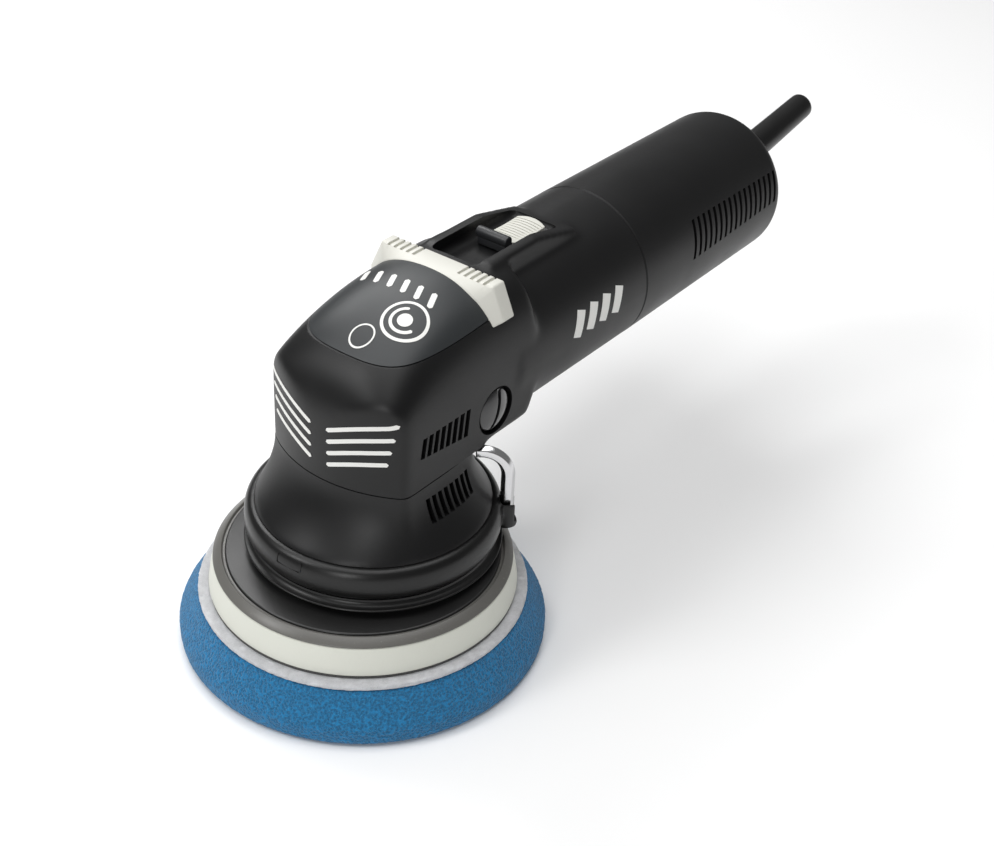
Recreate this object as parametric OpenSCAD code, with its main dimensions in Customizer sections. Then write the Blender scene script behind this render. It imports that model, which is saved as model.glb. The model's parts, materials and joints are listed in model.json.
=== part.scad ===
// Dual action polisher: geared head over an orbiting 150 mm foam pad, motor in a straight grip.
// X runs from the nose to the cord, Z is up, and the origin is the centre of the pad's working face.

/* [Orbit] */
// Distance from the spindle axis to the pad axis
orbit = 6; // [5:0.5:7]

/* [Pad and backing plate] */
// Largest radius of the foam pad
pad_r = 75; // [73:0.5:77]
// Radius of the top of the foam pad
pad_top_r = 66.6; // [65:0.2:68]
// Thickness of the foam pad
pad_h = 21; // [18:0.5:21]
// Radius of the backing plate at its lower edge
plate_r = 62.4; // [60:0.2:64]
// Thickness of the cushion layer of the backing plate
cushion_h = 12; // [10:0.5:12]

/* [Head] */
// Half of the width of the head between its flat sides
head_w = 34; // [33:0.25:35]
// Distance from the spindle axis to the nose
nose_x = 31.5; // [31:0.25:32.5]
// Radius of the curved front of the head, seen from above
front_r = 58; // [54:1:64]
// Distance from the spindle axis to the rear end of the flat sides
head_rear_x = 59; // [57:0.5:61]
// Height of the joint between the head and the skirt
skirt_top_z = 86; // [85.5:0.25:86.5]
// Height of the top of the head
head_top_z = 150; // [149:0.25:151]
// Wall thickness of the plastic housings
wall = 2.5; // [2:0.1:2.8]

/* [Grip] */
// Height of the motor axis
motor_z = 110; // [109.5:0.25:110.5]
// Radius of the grip
grip_r = 35; // [34.5:0.1:35.5]
// Distance from the spindle axis to the joint between the two grip housings
grip_seam_x = 135; // [133:0.5:137]
// Distance from the spindle axis to the rear end of the machine
rear_x = 253; // [248:0.5:258]

/* [Skirt and bumper] */
// Radius of the skirt at its lower edge
skirt_r = 47.7; // [47:0.1:48]
// Largest radius of the rubber bumper ring
bumper_r = 51.5; // [51:0.1:52.5]
// Height of the lower edge of the bumper ring
bumper_z = 47; // [46.5:0.1:47.5]
// Height of the upper edge of the bumper ring
bumper_top_z = 61.3; // [60.5:0.1:62]

/* [Gears] */
// Teeth of the pinion on the motor shaft
pinion_teeth = 12; // [12:1:12]
// Teeth of the crown gear on the spindle
crown_teeth = 36; // [36:1:36]
// Pitch radius of the crown gear
crown_r = 22.5; // [22:0.1:22.5]

/* [Cord boot] */
// Length of the cord boot
boot_len = 79; // [70:1:85]
// Upward tilt of the cord boot in degrees
boot_tilt = 9; // [6:0.5:10]
// Radius of the cord's passage
cord_r = 4.1; // [3.8:0.1:4.3]

/* [Hidden] */
$fn = 96;
gap = 0.3;           // clearance between bodies that move past each other
fit = 0.05;          // radial clearance of a shaft in its bearing
seam = 0.2;          // visible joint between two covers
front_cx = front_r - nose_x;
seam_rise = 0.06;    // slope of the joint under the top panel
seam_front_z = 135;  // height of that joint above the nose
collar_x = 30;       // front edge of the palm collar
collar_band = 35.4;  // front edge of the collar's flat band
collar_end = 42.4;   // rear edge of the palm collar
collar_z = 137;      // lower tips of the palm collar
plate_z = pad_h + 2.5;
cushion_z = plate_z + 1;
disc_z = cushion_z + cushion_h;
disc_top = disc_z + 3.1;
deck_z = 143;        // floor of the switch recess
bar_x = 71.3;        // the switch's bar
bar_r = 2.3;
deck_front = 45;
deck_rear = 101;
deck_w = 11.5;
motor_x = 84;        // front of the motor's laminated stack
stack = 38;          // length of that stack
brush_x = motor_x + stack + 16;
holder_h = 9;        // height of a brush holder
skirt_screw_angles = [35, 145, 215, 325];
dial_x = rear_x - 20;
clamp_x = rear_x - 17;
dial_z = motor_z - grip_r + 11.4;
fan_x = 62.3;        // front of the cooling fan
key_angle = -49.5;
key_dist = 53;
key_knee_z = 71;     // height at which the key starts to bend
key_bend = 11.2;     // radius of the key's bend
key_af = 5;          // width of the hexagon key across its flats

// Places its children in the head's own frame, with the spindle axis on Z.
module at_head() {
    translate([orbit, 0, 0]) children();
}

// Places its children on the motor axis: local Z becomes +X, starting at distance x.
module on_motor(x) {
    translate([orbit + x, 0, motor_z]) rotate([0, 90, 0]) children();
}

// A round ring from height z with outer radius r, bore b and height h.
module ring(z, r, b, h) {
    translate([0, 0, z]) difference() {
        cylinder(r = r, h = h);
        translate([0, 0, -1]) cylinder(r = b, h = h + 2);
    }
}

// A closed ball bearing with a groove between its two races.
module bearing(outer, bore, width) {
    groove = (outer - bore) * 0.3;
    mid = (outer + bore) / 2;
    difference() {
        ring(0, outer, bore, width);
        ring(-1, mid + groove / 2, mid - groove / 2, 1.6);
        ring(width - 0.6, mid + groove / 2, mid - groove / 2, 1.6);
    }
}

// ---- Housing outlines, each drawn smaller by the inset t ----

// Head seen from above: curved nose and two flat sides.
module head_plan(t) {
    intersection() {
        translate([front_cx, 0]) circle(r = front_r - t);
        translate([-nose_x - 1, -head_w + t]) square([head_rear_x + nose_x + 1, 2 * (head_w - t)]);
    }
}

// Head seen from the side: the bonnet is a quarter of an ellipse.
module head_side(t) {
    ex = 32;
    ez = 112;
    a = ex + nose_x - t;
    b = head_top_z - ez - t;
    polygon(concat([[-nose_x + t, skirt_top_z + t]],
        [for (i = [0:14]) [ex - a * cos(i * 90 / 14), ez + b * sin(i * 90 / 14)]],
        [[head_rear_x + 12, head_top_z - t], [head_rear_x + 12, skirt_top_z + t]]));
}

// Head seen from the front: flat sides under a crowned top, y as the first coordinate.
module head_front(t) {
    n = 2.8;
    w = head_w - t;
    h = head_top_z - motor_z - t;
    polygon(concat([[w, skirt_top_z + t]],
        [for (i = [0:20]) let (c = cos(i * 9), s = sin(i * 9))
            [w * sign(c) * pow(abs(c), 2 / n), motor_z + h * pow(s, 2 / n)]],
        [[-w, skirt_top_z + t]]));
}

// The head as a solid, smaller by t on every side.
module head_block(t) {
    intersection() {
        translate([0, 0, 60]) linear_extrude(100) head_plan(t);
        translate([0, 50, 0]) rotate([90, 0, 0]) linear_extrude(100) head_side(t);
        translate([-50, 0, 0]) rotate([90, 0, 90]) linear_extrude(200) head_front(t);
    }
}

// The front half of the grip as a solid tube form, smaller by t.
module grip_block(t) {
    translate([head_rear_x - 12 + t, 0, motor_z]) rotate([0, 90, 0])
        cylinder(r = grip_r - t, h = grip_seam_x - head_rear_x + 12 - t);
}

// The raised back behind the head that carries the switch.
module switch_back(t) {
    translate([0, 15 - t, 0]) rotate([90, 0, 0]) linear_extrude(2 * (15 - t)) polygon([
        [head_rear_x - 8, 130], [head_rear_x - 8, head_top_z - t], [78, head_top_z - t],
        [104, motor_z + grip_r - 0.5 - t], [104, 130]]);
}

// Everything above the joint of the top panel, raised by g.
module above_panel_joint(g) {
    front = -nose_x - 5;
    translate([0, 60, 0]) rotate([90, 0, 0]) linear_extrude(120) polygon([
        [front, seam_front_z + g + (front + 20) * seam_rise],
        [collar_x - g, seam_front_z + g + (collar_x + 20) * seam_rise],
        [collar_x - g, 170], [front, 170]]);
}

// A row of slots cut along Y through one side, leaning by lean over its height.
module slots(x0, x1, count, z0, z1, width, y, lean) {
    pitch = (x1 - x0) / (count - 1);
    for (side = [-1, 1], i = [0:count - 1])
        translate([x0 + i * pitch, side * y, (z0 + z1) / 2]) rotate([0, lean, 0])
            cube([width, 10, z1 - z0], center = true);
}

// ---- Pad and backing plate ----

module foam_pad() color("dodgerblue") {
    rotate_extrude() polygon([[0, 0], [pad_r - 2, 0], [pad_r - 0.4, 2], [pad_r, 5],
        [pad_r - 0.4, 8.5], [pad_top_r, pad_h], [0, pad_h]]);
}

module pad_loop_layer() color("white") {
    translate([0, 0, pad_h]) cylinder(r = pad_top_r, h = plate_z - pad_h);
}

module hook_layer() color("dimgray") ring(plate_z, plate_r - 0.3, 10, cushion_z - plate_z);

module plate_cushion() color("ivory") {
    rotate_extrude() polygon([[10, cushion_z], [plate_r, cushion_z],
        [plate_r - 2, disc_z], [10, disc_z]]);
}

module plate_rim() color("silver") {
    rotate_extrude() polygon([[plate_r - 7, disc_z], [plate_r - 2.2, disc_z],
        [plate_r - 5.6, disc_top - 0.5], [plate_r - 7, disc_top - 0.5]]);
}

module backing_disc() color("gray") {
    ring(disc_z, plate_r - 7.1, 4.1, disc_top - disc_z);
    ring(disc_z - 6, 9.9, 4.1, 6);
}

module plate_screw() color("dimgray") {
    difference() {
        union() {
            translate([0, 0, disc_z - 12]) cylinder(r = 6.5, h = 6);
            translate([0, 0, disc_z - 6]) cylinder(r = 3.95, h = 20);
        }
        translate([0, 0, disc_z - 13]) cylinder(r = 2.9, h = 5, $fn = 6);
    }
}

// ---- Orbit drive ----

module pad_spindle() color("silver") {
    difference() {
        union() {
            translate([0, 0, disc_top]) cylinder(r = 12, h = 3);
            translate([0, 0, disc_top + 2]) cylinder(r = 6, h = 62.5 - disc_top - 2);
        }
        translate([0, 0, disc_top - 1]) cylinder(r = 4, h = 19);
    }
}

module eccentric_bearings() color("lightgray") {
    for (z = [45, 54.5]) translate([0, 0, z]) bearing(14, 6 + fit, 8);
}

module eccentric_carrier() color("gray") {
    difference() {
        union() {
            translate([0, 0, 44.5]) cylinder(r = 18, h = 19.5);
            at_head() translate([0, 0, 59]) cylinder(r = 30, h = 7);
            at_head() translate([0, 0, 65]) cylinder(r = 12, h = 7);
        }
        translate([0, 0, 43]) cylinder(r = 14, h = 20);
        at_head() translate([0, 0, 63.5]) cylinder(r = 7, h = 10);
        for (a = [-38, 38]) at_head() rotate(a) translate([26, 0, 50]) cylinder(r = 2, h = 20);
    }
}

module counterweight() color("darkgray") {
    at_head() difference() {
        translate([0, 0, 47]) cylinder(r = 42, h = 12);
        translate([-orbit, 0, 46]) cylinder(r = 19.5, h = 14);
        translate([-110, -60, 40]) cube([114, 120, 30]);
        for (a = [-38, 38]) rotate(a) translate([26, 0, 40]) cylinder(r = 2.3, h = 30);
    }
}

module counterweight_screws() color("dimgray") {
    for (a = [-38, 38]) at_head() rotate(a) translate([26, 0, 0]) {
        translate([0, 0, 43.6]) cylinder(r = 3.8, h = 3.4);
        translate([0, 0, 47]) cylinder(r = 1.95, h = 18);
    }
}

module spindle() color("silver") {
    at_head() {
        translate([0, 0, 63.6]) cylinder(r = 6.95, h = 9.4);
        translate([0, 0, 72.5]) cylinder(r = 7.5 - fit, h = 16);
        translate([0, 0, 88]) cylinder(r = 7, h = 26);
        translate([0, 0, 113]) cylinder(r = 5 - fit, h = 13);
    }
}

// ---- Bevel gears, whose tooth flanks all run through the crossing of the two axes ----

cone_far = sqrt(pow(crown_r, 2) + pow(crown_r * pinion_teeth / crown_teeth, 2));
cone_near = cone_far * 0.7;
tooth_root = 3.4;  // root below the pitch cone, in degrees
tooth_tip = 2.5;   // tip above the pitch cone, in degrees

// One ring of tooth corners at distance a along the cone: four corners for each tooth.
function tooth_ring(n, pitch_angle, a) = [
    for (i = [0:n - 1], c = [[-0.29, 0], [-0.1, 1], [0.1, 1], [0.29, 0]])
    let (phi = (i + c[0]) * 360 / n, g = pitch_angle + (c[1] == 1 ? tooth_tip : -tooth_root))
        [a * sin(g) * cos(phi), a * sin(g) * sin(phi), a * cos(g)]];

// A bevel gear on +Z with its cone's apex at the origin, and a flat back at distance back.
module bevel_gear(n, pitch_angle, back) {
    m = 4 * n;
    root = pitch_angle - tooth_root;
    back_r = cone_far * sin(root);
    near = tooth_ring(n, pitch_angle, cone_near);
    far = tooth_ring(n, pitch_angle, cone_far);
    rear = [for (p = far) let (r = norm([p[0], p[1]])) [p[0] * back_r / r, p[1] * back_r / r, back]];
    points = concat(near, far, rear, [[0, 0, cone_near * cos(root)], [0, 0, back]]);
    faces = [for (i = [0:m - 1]) let (j = (i + 1) % m) each [
        [i, j, m + i], [j, m + j, m + i],
        [m + i, m + j, 2 * m + i], [m + j, 2 * m + j, 2 * m + i],
        [3 * m, j, i], [3 * m + 1, 2 * m + i, 2 * m + j]]];
    polyhedron(points = points, faces = [for (f = faces) [f[2], f[1], f[0]]], convexity = 8);
}

module crown_gear() color("silver") {
    pitch_angle = atan2(crown_teeth, pinion_teeth);
    at_head() difference() {
        union() {
            translate([0, 0, motor_z]) rotate([180, 0, 0]) bevel_gear(crown_teeth, pitch_angle, 14);
            translate([0, 0, 89]) cylinder(r = 13, h = 10);
        }
        translate([0, 0, 80]) cylinder(r = 7.01, h = 30);
    }
}

module bevel_pinion() color("silver") {
    pitch_angle = atan2(pinion_teeth, crown_teeth);
    difference() {
        on_motor(0) rotate(180 / pinion_teeth) bevel_gear(pinion_teeth, pitch_angle, 27);
        on_motor(0) cylinder(r = 3.51, h = 40);
    }
}

// ---- Gear case and its bearings ----

module spindle_bearing_lower() color("lightgray") at_head() translate([0, 0, 73]) bearing(16, 7.5, 11);

module spindle_bearing_upper() color("lightgray") at_head() translate([0, 0, 117]) bearing(12, 5, 8);

module pinion_bearing() color("lightgray") on_motor(31) bearing(11, 4, 7);

module gear_case() color("lightslategray") {
    difference() {
        union() {
            at_head() translate([0, 0, 72]) cylinder(r = 20, h = 15);
            at_head() translate([0, 0, 84.5]) cylinder(r = 27.5, h = 25.5);
            at_head() translate([0, 0, 108]) cylinder(r = 16, h = 18.5);
            on_motor(12) cylinder(r = 16, h = 29);
            on_motor(40) cylinder(r = 26.5, h = 4);
        }
        at_head() translate([0, 0, 71]) cylinder(r = 16, h = 13);
        at_head() translate([0, 0, 80]) cylinder(r = 12, h = 10);
        at_head() translate([0, 0, 88]) cylinder(r = 24.6, h = 19);
        at_head() translate([0, 0, 106]) cylinder(r = 9, h = 22);
        at_head() translate([0, 0, 117]) cylinder(r = 12, h = 8);
        on_motor(8) cylinder(r = 12.5, h = 22);
        on_motor(29) cylinder(r = 9, h = 20);
        on_motor(31) cylinder(r = 11, h = 14);
        for (a = [45:90:315]) on_motor(38) rotate(a) translate([22, 0, 0]) cylinder(r = 2.1, h = 8);
        at_head() translate([39, -30, motor_z - 30]) cube([8, 60, 30 - motor_z + skirt_top_z + wall + 0.3]);
        at_head() for (a = skirt_screw_angles) rotate(a) translate([24, 0, 84]) cylinder(r = 1.6, h = 3);
    }
}

module gear_case_screws() color("dimgray") {
    for (a = [45:90:315]) on_motor(0) rotate(a) translate([22, 0, 0]) {
        translate([0, 0, 37.6]) cylinder(r = 3.8, h = 2.4);
        translate([0, 0, 40]) cylinder(r = 2.05, h = 9);
    }
}

// ---- Motor ----

module motor_shaft() color("silver") {
    on_motor(16) cylinder(r = 3.5, h = 12);
    on_motor(27.5) cylinder(r = 4 - fit, h = 124.5);
    on_motor(151.5) cylinder(r = 3.5 - fit, h = 9);
}

module armature_core() color("slategray") {
    on_motor(motor_x) difference() {
        cylinder(r = 16.5, h = stack);
        translate([0, 0, -1]) cylinder(r = 3.96, h = stack + 2);
        for (a = [0:30:330]) rotate(a) translate([15, -0.8, -1]) cube([3, 1.6, stack + 2]);
    }
}

module armature_windings() color("sandybrown") {
    on_motor(0) {
        ring(motor_x - 6.5, 15.5, 4, 6.5);
        ring(motor_x + stack, 15.5, 4, 7);
    }
}

module commutator() color("peru") {
    on_motor(motor_x + stack + 9) difference() {
        cylinder(r = 11, h = 14);
        translate([0, 0, -1]) cylinder(r = 3.96, h = 16);
        for (a = [0:15:345]) rotate(a) translate([10.3, -0.25, 2]) cube([1, 0.5, 13]);
    }
}

module cooling_fan() color("dimgray") {
    on_motor(fan_x) difference() {
        union() {
            cylinder(r = 27, h = 1.6);
            cylinder(r = 8, h = 11);
            for (a = [0:30:330]) rotate(a) translate([7, -0.7, 0]) cube([19.5, 1.4, 10]);
        }
        translate([0, 0, -1]) cylinder(r = 3.96, h = 14);
    }
}

module air_guide() color("darkslategray") {
    on_motor(fan_x + 12) difference() {
        cylinder(r = 32, h = 2.4);
        translate([0, 0, -1]) cylinder(r = 18, h = 7);
        translate([-40, -40, -1]) cube([11.7, 80, 7]);
    }
}

module stator_core() color("slategray") {
    on_motor(motor_x) difference() {
        cylinder(r = 28.2, h = stack);
        translate([0, 0, -1]) cylinder(r = 17.1, h = stack + 2);
        for (a = [0, 180]) rotate(a) translate([-9, 15, -1]) cube([18, 9.5, stack + 2]);
    }
}

module field_coils() color("chocolate") {
    on_motor(motor_x - 5) for (a = [0, 180]) rotate(a) translate([-8.7, 18.2, 0]) cube([17.4, 6, stack + 10]);
}

module rear_bearing() color("lightgray") on_motor(152.6) bearing(9.5, 3.5, 7);

module rear_bearing_bracket() color("darkslategray") {
    difference() {
        union() {
            on_motor(151.6) cylinder(r = 12, h = 10);
            on_motor(148) ring(0, 31.8, 26, 12);
            for (a = [45:90:315]) on_motor(154) rotate(a) translate([10, -3, 0]) cube([18, 6, 5]);
            for (side = [-1, 1], shelf = [-holder_h / 2 - 3, holder_h / 2])
                translate([orbit + brush_x - 6.5, side * 22 - 8, motor_z + shelf]) cube([18.5, 16, 3]);
        }
        on_motor(140) cylinder(r = 6, h = 30);
        on_motor(150) cylinder(r = 9.5, h = 9.6);
        translate([orbit + 140, -6, motor_z + 20]) cube([30, 12, 16]);
    }
}

module brush_holders() color("peru") {
    for (side = [-1, 1]) translate([orbit + brush_x, side * 20.7, motor_z]) difference() {
        cube([12, 17, holder_h], center = true);
        cube([8.2, 20, 5.2], center = true);
    }
}

module carbon_brushes() color("black") {
    for (side = [-1, 1]) translate([orbit + brush_x, side * 17.2, motor_z]) cube([8, 12, 5], center = true);
}

module brush_springs() color("silver") {
    for (side = [-1, 1]) translate([orbit + brush_x, side * 26.4, motor_z]) rotate([90, 0, 0])
        for (z = [-2.4:1.2:2.4]) translate([0, 0, z]) rotate_extrude() translate([1.8, 0]) circle(r = 0.61);
}

// ---- Outer covers ----

module main_housing() color("dimgray") {
    at_head() difference() {
        union() {
            head_block(0);
            grip_block(0);
            switch_back(0);
        }
        difference() {
            union() {
                head_block(wall);
                difference() {
                    grip_block(wall);
                    translate([head_rear_x - 12, -40, 60])
                        cube([14.5, 80, skirt_top_z + wall - 60]);
                }
                translate([grip_seam_x - 10, 0, motor_z]) rotate([0, 90, 0])
                    cylinder(r = grip_r - wall, h = 20);
            }
            translate([deck_front - wall, -deck_w - wall, deck_z - 2])
                cube([deck_rear - deck_front + 2 * wall, 2 * (deck_w + wall), 20]);
            translate([44.2, 0, motor_z]) rotate([0, 90, 0]) ring(0, 45, 17, 2.4);
            for (a = [45:90:315]) translate([motor_x + 2, 0, motor_z]) rotate([0, 90, 0]) rotate(a)
                translate([28.3, -1, 0]) cube([8, 2, stack - 4]);
            for (a = [45:90:315]) translate([grip_seam_x - 11, 0, motor_z]) rotate([0, 90, 0]) rotate(a)
                translate([28.5, 0, 0]) cylinder(r = 4.2, h = 11);
        }
        for (a = [45:90:315]) translate([43, 0, motor_z]) rotate([0, 90, 0]) rotate(a)
            translate([22, 0, 0]) cylinder(r = 2.1, h = 6);
        translate([deck_front, -deck_w, deck_z]) cube([deck_rear - deck_front, 2 * deck_w, 20]);
        translate([62, -2.6, deck_z - 5]) cube([28, 5.2, 10]);
        above_panel_joint(-seam);
        translate([0, 0, 80]) cylinder(r = 28, h = 10);
        slots(-11, 14, 8, 98, 107, 1.8, head_w, 12);
        for (side = [-1, 1]) translate([32.5, side * (head_w + 5), 99.5]) rotate([90, 0, 0])
            cylinder(r = 10, h = 16, center = true);
        for (a = [45:90:315]) translate([grip_seam_x - 8, 0, motor_z]) rotate([0, 90, 0])
            rotate(a) translate([28.5, 0, 0]) cylinder(r = 1.5, h = 10);
    }
    for (side = [-1, 1]) at_plug(side) difference() {
        translate([0, 0, 0.5]) cylinder(r = 11.5, h = 4.6);
        cylinder(r = 6.05, h = 10);
        translate([0, 0, 2.8]) cylinder(r = 10, h = 8);
    }
}

// Places its children at the centre of a side plug, with local Z pointing outwards.
module at_plug(side) {
    at_head() translate([32.5, side * (head_w - 6.5), 99.5]) rotate([-90 * side, 0, 0]) children();
}

module side_plugs() color("gainsboro") {
    for (side = [-1, 1]) at_plug(side) difference() {
        union() {
            cylinder(r = 6, h = 2.8);
            intersection() {
                translate([0, 0, 2.8]) cylinder(r = 8.8, h = 5);
                translate([0, 0, -5.9]) sphere(r = 12.9);
            }
        }
        translate([-10, -0.8, 5]) cube([20, 1.6, 4]);
    }
}

module top_panel() color("gray") {
    at_head() intersection() {
        difference() {
            head_block(0);
            head_block(wall);
        }
        above_panel_joint(0);
        translate([-50, -50, 100]) cube([50 + collar_x, 100, 60]);
    }
}

module panel_emblem() color("white") {
    at_head() intersection() {
        difference() {
            head_block(-0.35);
            head_block(0);
        }
        union() {
            translate([2, -2, 0]) ring(120, 13, 11.4, 40);
            translate([8, -6, 120]) cylinder(r = 5.4, h = 40);
            translate([-16, 6, 0]) ring(120, 6, 5, 40);
        }
    }
}

// Places a flat outline, with y and z as its coordinates, across the head at distance x.
module across(x, thickness) {
    translate([x, 0, 0]) rotate([90, 0, 90]) linear_extrude(thickness) children();
}

// The collar seen from the front: a flat top with slanted shoulders.
module collar_arch() {
    polygon([for (p = [[33.8, collar_z], [28.4, head_top_z - 2.2], [26.4, head_top_z - 0.2]]) p,
        for (p = [[26.4, head_top_z - 0.2], [28.4, head_top_z - 2.2], [33.8, collar_z]]) [-p[0], p[1]]]);
}

module palm_collar() color("whitesmoke") {
    at_head() difference() {
        union() {
            hull() {
                across(collar_x - 1.6, 0.2) intersection() {
                    head_front(0);
                    translate([-50, collar_z]) square([100, 50]);
                }
                across(collar_band, 0.2) collar_arch();
            }
            across(collar_band, collar_end - collar_band) collar_arch();
        }
        head_block(0);
    }
}

// Four stripes on each side of the nose, which rise outwards.
module front_stripes() color("white") {
    at_head() for (i = [0:3], side = [0, 1]) mirror([0, side, 0]) intersection() {
        translate([front_cx, 0, 90]) ring(0, front_r + 0.4, front_r + 0.03, 35);
        translate([-nose_x - 5, 4, 92.8 + 5.1 * i]) rotate([16, 0, 0]) cube([20, 25.8 + 1.5 * i, 2]);
    }
}

module side_badge() color("white") {
    at_head() for (i = [0:3]) intersection() {
        translate([78, 0, motor_z]) rotate([0, 90, 0]) ring(0, grip_r + 0.3, grip_r + 0.03, 50);
        translate([86 + 9 * i, -grip_r - 1, motor_z + 5]) rotate([0, 20, 0]) cube([5, 8, 11], center = true);
    }
}

// ---- Skirt, bumper and key ----

// Radius of the neck at angle a, where the skirt meets the head, smaller by t.
function neck_r(a, t) = let (n = 3, wx = 33 - t, wy = head_w - t)
    cos(a) < 0 ? min(wy / max(abs(sin(a)), 0.1), front_reach(a, t))
        : pow(pow(cos(a) / wx, n) + pow(abs(sin(a)) / wy, n), -1 / n);

// Distance from the spindle axis to the curved front at angle a.
function front_reach(a, t) = let (b = front_cx * cos(a), r = front_r - t)
    b + sqrt(b * b + r * r - front_cx * front_cx);

// The skirt as a solid: the neck outline flares out to a circle at its foot.
module skirt_form(t) {
    m = 48;
    k = 6;
    top = skirt_top_z - seam + (t > 0 ? 1 : 0);
    foot = bumper_top_z - (t > 0 ? 1 : 0);
    points = [for (j = [0:k], i = [0:m - 1]) let (a = i * 360 / m, u = j / k, s = pow(1 - u, 1.7),
        r = neck_r(a, t) * (1 - s) + (skirt_r - t) * s) [r * cos(a), r * sin(a), foot + (top - foot) * u]];
    sides = [for (j = [0:k - 1], i = [0:m - 1]) let (p = j * m + i, q = j * m + (i + 1) % m) each
        [[p, p + m, q], [q, p + m, q + m]]];
    polyhedron(points = points, faces = concat(sides, [[for (i = [0:m - 1]) i]],
        [[for (i = [m - 1:-1:0]) k * m + i]]), convexity = 6);
}

module skirt() color("dimgray") {
    at_head() difference() {
        union() {
            difference() {
                skirt_form(0);
                skirt_form(wall);
            }
            ring(82.6, 30.6, 20.3, 1.8);
        }
        slots(-10, 14, 8, 71.5, 80.5, 1.8, head_w + 3, -8);
        for (a = skirt_screw_angles) rotate(a) translate([24, 0, 80]) cylinder(r = 1.6, h = 6);
    }
}

module skirt_screws() color("silver") {
    at_head() for (a = skirt_screw_angles) rotate(a) translate([24, 0, 0]) {
        translate([0, 0, 80.4]) cylinder(r = 3, h = 2.2);
        translate([0, 0, 82.5]) cylinder(r = 1.5, h = 4);
    }
}

module bumper_ring() color("dimgray") {
    at_head() difference() {
        union() {
            rotate_extrude() polygon([[bumper_r - 4.2, bumper_z], [bumper_r - 1.2, bumper_z],
                [bumper_r, bumper_z + 2], [bumper_r, bumper_top_z - 4.5], [bumper_r - 1, bumper_top_z - 2],
                [skirt_r + 0.2, bumper_top_z], [bumper_r - 4.2, bumper_top_z]]);
            rotate(key_angle) translate([key_dist, 0, bumper_z]) cylinder(r = 4.7, h = 11.5);
            rotate(key_angle) translate([bumper_r - 3, -4.7, bumper_z])
                cube([key_dist - bumper_r + 3, 9.4, 11.5]);
        }
        rotate(key_angle) translate([key_dist, 0, bumper_z + 2]) {
            cylinder(r = 3.2, h = 20);
            translate([0, -key_af / 2 - gap, 0]) cube([20, key_af + 2 * gap, 20]);
        }
    }
}

module dust_lip() color("black") {
    at_head() rotate_extrude() polygon([[bumper_r - 5, 43.2], [bumper_r + 0.2, 43.2],
        [bumper_r + 0.2, 43.8], [bumper_r - 3, 45], [bumper_r - 2.4, bumper_z], [bumper_r - 5, bumper_z]]);
}

module hex_key() color("silver") {
    at_head() rotate(key_angle) translate([key_dist, 0, 0]) {
        translate([0, 0, bumper_z + 2.3])
            cylinder(r = key_af / sqrt(3), h = key_knee_z - bumper_z - 2.3, $fn = 6);
        translate([-key_bend, 0, key_knee_z]) rotate([90, 0, 0]) rotate_extrude(angle = 90)
            translate([key_bend, 0]) circle(r = key_af / sqrt(3), $fn = 6);
        translate([-key_bend, 0, key_knee_z + key_bend]) rotate([0, -90, 0])
            cylinder(r = key_af / sqrt(3), h = 2, $fn = 6);
    }
}

// ---- Rear of the grip ----

// The rear housing's outline: radius against distance along X, smaller by t.
module rear_outline(t) {
    bend = 8;
    end_r = grip_r - 0.8;
    len = rear_x - grip_seam_x;
    polygon(concat([[0, t > 0 ? -1 : seam], [grip_r - t, t > 0 ? -1 : seam]],
        [for (a = [0:15:90]) [end_r - bend + (bend - t) * cos(a), len - bend + (bend - t) * sin(a)]],
        [[0, len - t]]));
}

module boot_line() {
    at_head() translate([rear_x - 4, 0, motor_z + 1.4]) rotate([0, 90 - boot_tilt, 0]) children();
}

// Ribs that hold the switch and the speed module, and posts that carry the cord clamp.
module inner_supports() {
    for (side = [-1, 1]) {
        translate([168, side * 9.8 - 0.8, motor_z + 16]) cube([16, 1.6, 30]);
        for (x = [172, 208]) translate([x, side * 23.5 - 6.5, motor_z - 40]) cube([3, 13, 26]);
        translate([clamp_x, side * 11 - 3, motor_z - 40]) cube([7, 6, 44]);
    }
    translate([clamp_x, -14, motor_z - 11]) cube([7, 28, 6.6]);
}

module rear_housing() color("dimgray") {
    difference() {
        on_motor(grip_seam_x) {
            difference() {
                rotate_extrude() rear_outline(0);
                rotate_extrude() rear_outline(wall);
            }
            for (a = [45:90:315]) rotate(a) translate([0, 0, seam]) difference() {
                translate([28.5, 0, 0]) cylinder(r = 4.2, h = 1.8);
                translate([28.5, 0, -1]) cylinder(r = 1.7, h = 4);
            }
        }
        intersection() {
            on_motor(grip_seam_x) rotate_extrude() rear_outline(wall / 2);
            at_head() inner_supports();
        }
        boot_line() translate([0, 0, -6]) cylinder(r = 8.2, h = 20);
        boot_line() translate([0, 0, -20]) cylinder(r = cord_r, h = 20);
        at_head() slots(172, 243, 17, 106, 123, 1.9, grip_r - 3, -4);
        at_head() translate([dial_x - 11, -5.2, motor_z - grip_r - 2]) cube([22, 10.4, 8]);
    }
}

module housing_screws() color("dimgray") {
    for (a = [45:90:315]) on_motor(grip_seam_x) rotate(a) translate([28.5, 0, 0]) {
        translate([0, 0, -6]) cylinder(r = 1.45, h = 8.1);
        translate([0, 0, 2]) cylinder(r = 2.8, h = 2.2);
    }
}

module switch_slider() color("whitesmoke") {
    at_head() difference() {
        union() {
            translate([0, 7, deck_z]) rotate([90, 0, 0]) linear_extrude(14) polygon([
                [69, gap], [69, 3.6], [74.5, 3.6], [77, 2.8], [88, 2.6], [98, 2.8], [98, gap]]);
            translate([80.5, -2.2, deck_z - 3]) cube([8, 4.4, 4]);
        }
        for (i = [0:8]) translate([81.5 + 1.8 * i, -8, deck_z + 2.2]) cube([0.6, 16, 2]);
        bar_line(bar_r + 0.05, 20);
    }
}

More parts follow.
